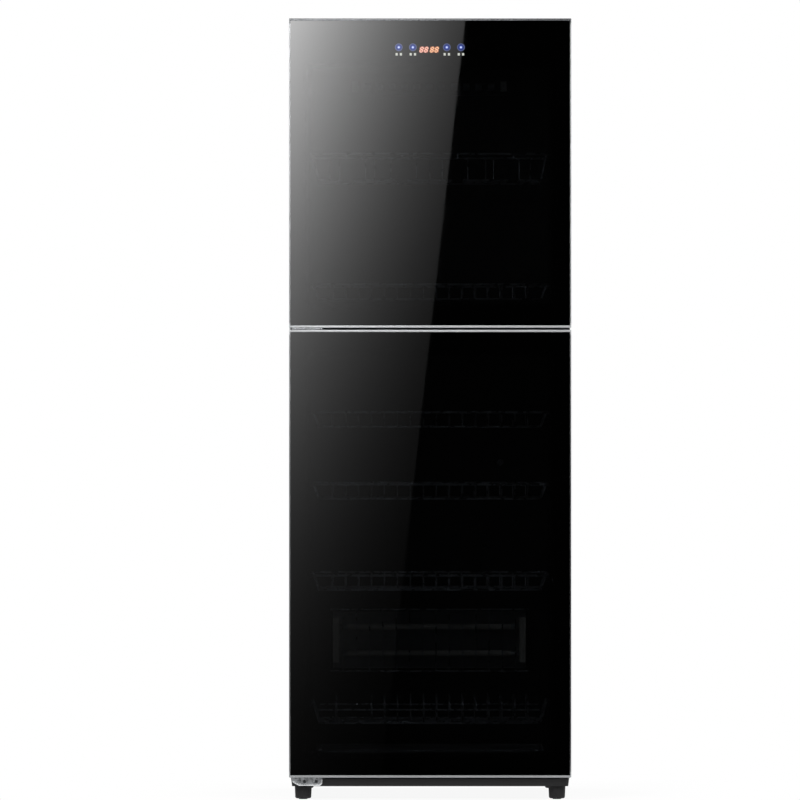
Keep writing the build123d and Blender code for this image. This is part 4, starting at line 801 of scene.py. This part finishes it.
# Pieces whose edges are broken
for node, width, slot, finish in (
    ("base_plinth", 1.2, "black_plastic", plastic_black),
    ("upper_door_top_cap", 0.7, "silver_plastic", silver_cap_shaded_copy),
    ("upper_door_bottom_cap", 0.7, "silver_plastic", silver_cap_lit_copy),
    ("lower_door_top_cap", 0.7, "silver_plastic", silver_cap_lit_copy),
    ("lower_door_bottom_cap", 0.7, "silver_plastic", silver_cap),
    ("upper_door_stiles", 0.5, "silver_trim", anodised),
    ("lower_door_stiles", 0.5, "silver_trim", anodised),
    ("top_hinge_plate", 0.6, "chrome_hinge", chrome_plate),
    ("mid_hinge_plate", 0.6, "chrome_hinge", chrome_plate),
    ("bottom_hinge_plate", 0.7, "chrome_hinge", chrome_plate),
    ("side_panel_left", 0.4, "black_coated_steel", powder_black),
    ("side_panel_right", 0.4, "black_coated_steel", powder_black),
    ("front_frame", 0.4, "black_coated_steel", powder_black),
    ("uv_lamp_sockets", 2.0, "white_plastic", plastic_white),
    ("tube_holders", 1.5, "holder_ceramic", steatite),
    ("back_panel", 0.5, "galvanised_steel", galvanised),
    ("cord_gland", 0.8, "black_plastic", plastic_black),
):
    edged(node, width, finish)


# Camera
camera = put("camera", bpy.data.cameras.new("camera"))
camera.data.lens = 300.0
camera.data.sensor_width = 36.0
camera.location = CAMERA
camera.rotation_euler = (math.radians(90), 0, 0)
camera.data.clip_end = 60.0
scene.camera = camera


# Room: white to the camera, dim in front of the doors to reflections, and a plain level of light on the object
PLAIN_LEVEL = 0.5
world = bpy.data.worlds.new("studio")
scene.world = world
world.use_nodes = True
tree = world.node_tree
tree.nodes.clear()
path = add(tree, "LightPath")
toward = add(tree, "SeparateXYZ", {}, {0: add(tree, "TexCoord").outputs["Generated"]})
mirror = add(tree, "MapRange", {1: -0.45, 2: 0.35, 3: 0.0, 4: 1.0}, {0: toward.outputs[1]},
             interpolation_type="SMOOTHSTEP")
seen = add(tree, "Math", {}, {0: path.outputs["Is Camera Ray"], 1: path.outputs["Is Transmission Ray"]},
           operation="MAXIMUM")
soft = add(tree, "Mix", {2: PLAIN_LEVEL, 3: 1.0}, {0: seen})
# The wall behind the cabinet is lit from one side, so that what faces it has a light and a dark flank
rear = add(tree, "MapRange", {1: 0.25, 2: 0.75}, {0: toward.outputs[1]}, interpolation_type="SMOOTHSTEP")
slope = add(tree, "MapRange", {1: -1.0, 2: 1.0, 3: 0.4, 4: 1.0}, {0: toward.outputs[0]})
wall = add(tree, "Mix", {2: 1.0}, {0: rear, 3: slope})
shaded = add(tree, "Math", {}, {0: mirror, 1: wall.outputs[0]}, operation="MULTIPLY")
level = add(tree, "Mix", {}, {0: path.outputs["Is Glossy Ray"], 2: soft.outputs[0], 3: shaded})
sky = add(tree, "Background", {"Color": (1, 1, 1, 1)}, {"Strength": level.outputs[0]})
add(tree, "OutputWorld", links={"Surface": sky})


def plain_floor():
    """Pale floor as rings round a middle behind the cabinet: x is the half width times a share times cos a, and
    y is the middle's plus the half depth times a share times sin a, so that its front edge is 0.43 m before
    the doors."""
    half_x, middle_y, half_y, rings, steps = 3400.0, 1900.0, 2550.0, 24, 96
    share = np.linspace(0, 1, rings)[:, None]
    angle = np.linspace(0, 2 * np.pi, steps, endpoint=False)[None, :]
    x, y = half_x * share * np.cos(angle), middle_y + half_y * share * np.sin(angle)
    points = np.stack(np.broadcast_arrays(x, y, 0 * x), -1)
    return points[:, ::-1], lattice(rings, steps, wrap_columns=True)


# Matt white paper: it shows as bare white away from the cabinet, and a soft shadow lies on it close by
HALF_WIDTH, HALF_DEPTH, SHADOW_REACH, LEAST_WHITE = 0.29, 0.2, 0.4, 0.92
paper, tree, place = new_finish("white_floor_paper")
axis = add(tree, "SeparateXYZ", {}, {0: place})
out_x = add(tree, "Math", {1: HALF_WIDTH}, {
    0: add(tree, "Math", {}, {0: axis.outputs[0]}, operation="ABSOLUTE")}, operation="SUBTRACT")
out_y = add(tree, "Math", {1: HALF_DEPTH}, {
    0: add(tree, "Math", {}, {0: axis.outputs[1]}, operation="ABSOLUTE")}, operation="SUBTRACT")
away = add(tree, "Math", {}, {0: out_x, 1: out_y}, operation="MAXIMUM")
bare = add(tree, "MapRange", {1: 0.0, 2: SHADOW_REACH, 3: LEAST_WHITE, 4: 1.0}, {0: away},
           interpolation_type="SMOOTHSTEP")
path = add(tree, "LightPath")
seen = add(tree, "Math", {}, {0: path.outputs["Is Camera Ray"], 1: path.outputs["Is Transmission Ray"]},
           operation="MAXIMUM")
seen = add(tree, "Math", {}, {0: seen, 1: path.outputs["Is Glossy Ray"]}, operation="MAXIMUM")
share = add(tree, "Math", {}, {0: seen, 1: bare}, operation="MULTIPLY")
matt = add(tree, "BsdfDiffuse", {"Color": colour("#eeeeee")})
white = add(tree, "Emission", {"Color": (1, 1, 1, 1), "Strength": 1.0})
both = add(tree, "MixShader", {}, {0: share, 1: matt, 2: white})
# In mirrors the floor dies away towards its front edge, as it does in a room that is dark behind the camera,
# and behind the cabinet it runs into the wall
dark = add(tree, "MapRange", {1: -0.34, 2: -0.645}, {0: axis.outputs[1]}, interpolation_type="SMOOTHSTEP")
sweep = add(tree, "MapRange", {1: 0.23, 2: 0.7}, {0: axis.outputs[1]}, interpolation_type="SMOOTHSTEP")
ends = add(tree, "Math", {}, {0: dark, 1: sweep}, operation="ADD")
unseen = add(tree, "Math", {}, {0: ends, 1: path.outputs["Is Glossy Ray"]}, operation="MULTIPLY")
faded = add(tree, "MixShader", {}, {0: unseen, 1: both, 2: add(tree, "BsdfTransparent")})
add(tree, "OutputMaterial", links={"Surface": faded})


def stage_mesh(name, mesh, finish):
    """A mesh of the room, at the origin, that isn't part of the object."""
    mesh.materials.append(finish)
    made = put(name, mesh)
    return made


stage_mesh("floor", grid_mesh("floor", *plain_floor()), paper)


def light_panel():
    """Softbox that the doors mirror, 2 m before the glass. A point of the doors at (x, z) sees it at the
    camera's place plus the spread times its own offset from there. Its right edge leans, and the logarithm of
    its light is a second degree polynomial of x and z, so that it falls off smoothly to the right and
    downwards."""
    rows, columns, y, spread = 60, 48, -2.2145, 1.1458
    low, tall, left, top, top_right, lean = -0.03, 1.68, -0.32, 1.6056, 0.0724, 0.1114
    up = np.linspace(0.0, 1.0, rows)[:, None]
    along = np.linspace(0.0, 1.0, columns)[None, :]
    z = low + tall * up
    x = left + (top_right - lean * (top - z) - left) * along
    glow = np.exp(-9.65 - 13.22 * x + 6.04 * z - 7.41 * x * x + 2.74 * x * z - 1.0 * z * z)
    place_x, place_z = CAMERA[0] + (x - CAMERA[0]) * spread, CAMERA[2] + (z - CAMERA[2]) * spread
    points = np.stack(np.broadcast_arrays(place_x, y, place_z), -1) * 1000
    return points, lattice(rows, columns), glow


# Diffusing cloth, lit from behind: it glows by the panel's own number at each point
PANEL_STRENGTH = 22.5
softbox, tree, _ = new_finish("softbox_cloth")
fall = add(tree, "Attribute", attribute_name="glow")
bright = add(tree, "Math", {1: PANEL_STRENGTH}, {0: fall.outputs["Fac"]}, operation="MULTIPLY")
cloth = add(tree, "Emission", {"Color": (1, 1, 1, 1)}, {"Strength": bright})
add(tree, "OutputMaterial", links={"Surface": cloth})
panel = stage_mesh("light_panel", grid_mesh("light_panel", *light_panel(), "glow"), softbox)
panel.visible_camera = False
panel.visible_diffuse = False
panel.visible_transmission = False
panel.visible_volume_scatter = False
panel.visible_shadow = False

# Four soft lamps aimed at the middle of the cabinet. The two behind it don't show in mirrors.
AIM, LAMP_SIZE = np.array([0, 0, 0.8]), 1.4
for name, at, power in (
    ("key_light", (-1.9, -2.5, 2.5), 66.0),
    ("fill_light", (2.3, -2.0, 1.7), 38.0),
    ("back_light_left", (-2.2, 2.2, 3.4), 48.0),
    ("back_light_right", (2.2, 2.2, 3.4), 48.0),
):
    lamp = put(name, bpy.data.lights.new(name, "AREA"))
    lamp.data.size = LAMP_SIZE
    lamp.data.energy = power
    away = np.array(at) - AIM
    tilt, heading = math.acos(away[2] / np.linalg.norm(away)), math.atan2(away[1], away[0])
    lamp.location = at
    lamp.rotation_euler = (tilt, 0, heading + math.pi / 2)
    lamp.visible_glossy = at[1] < 0
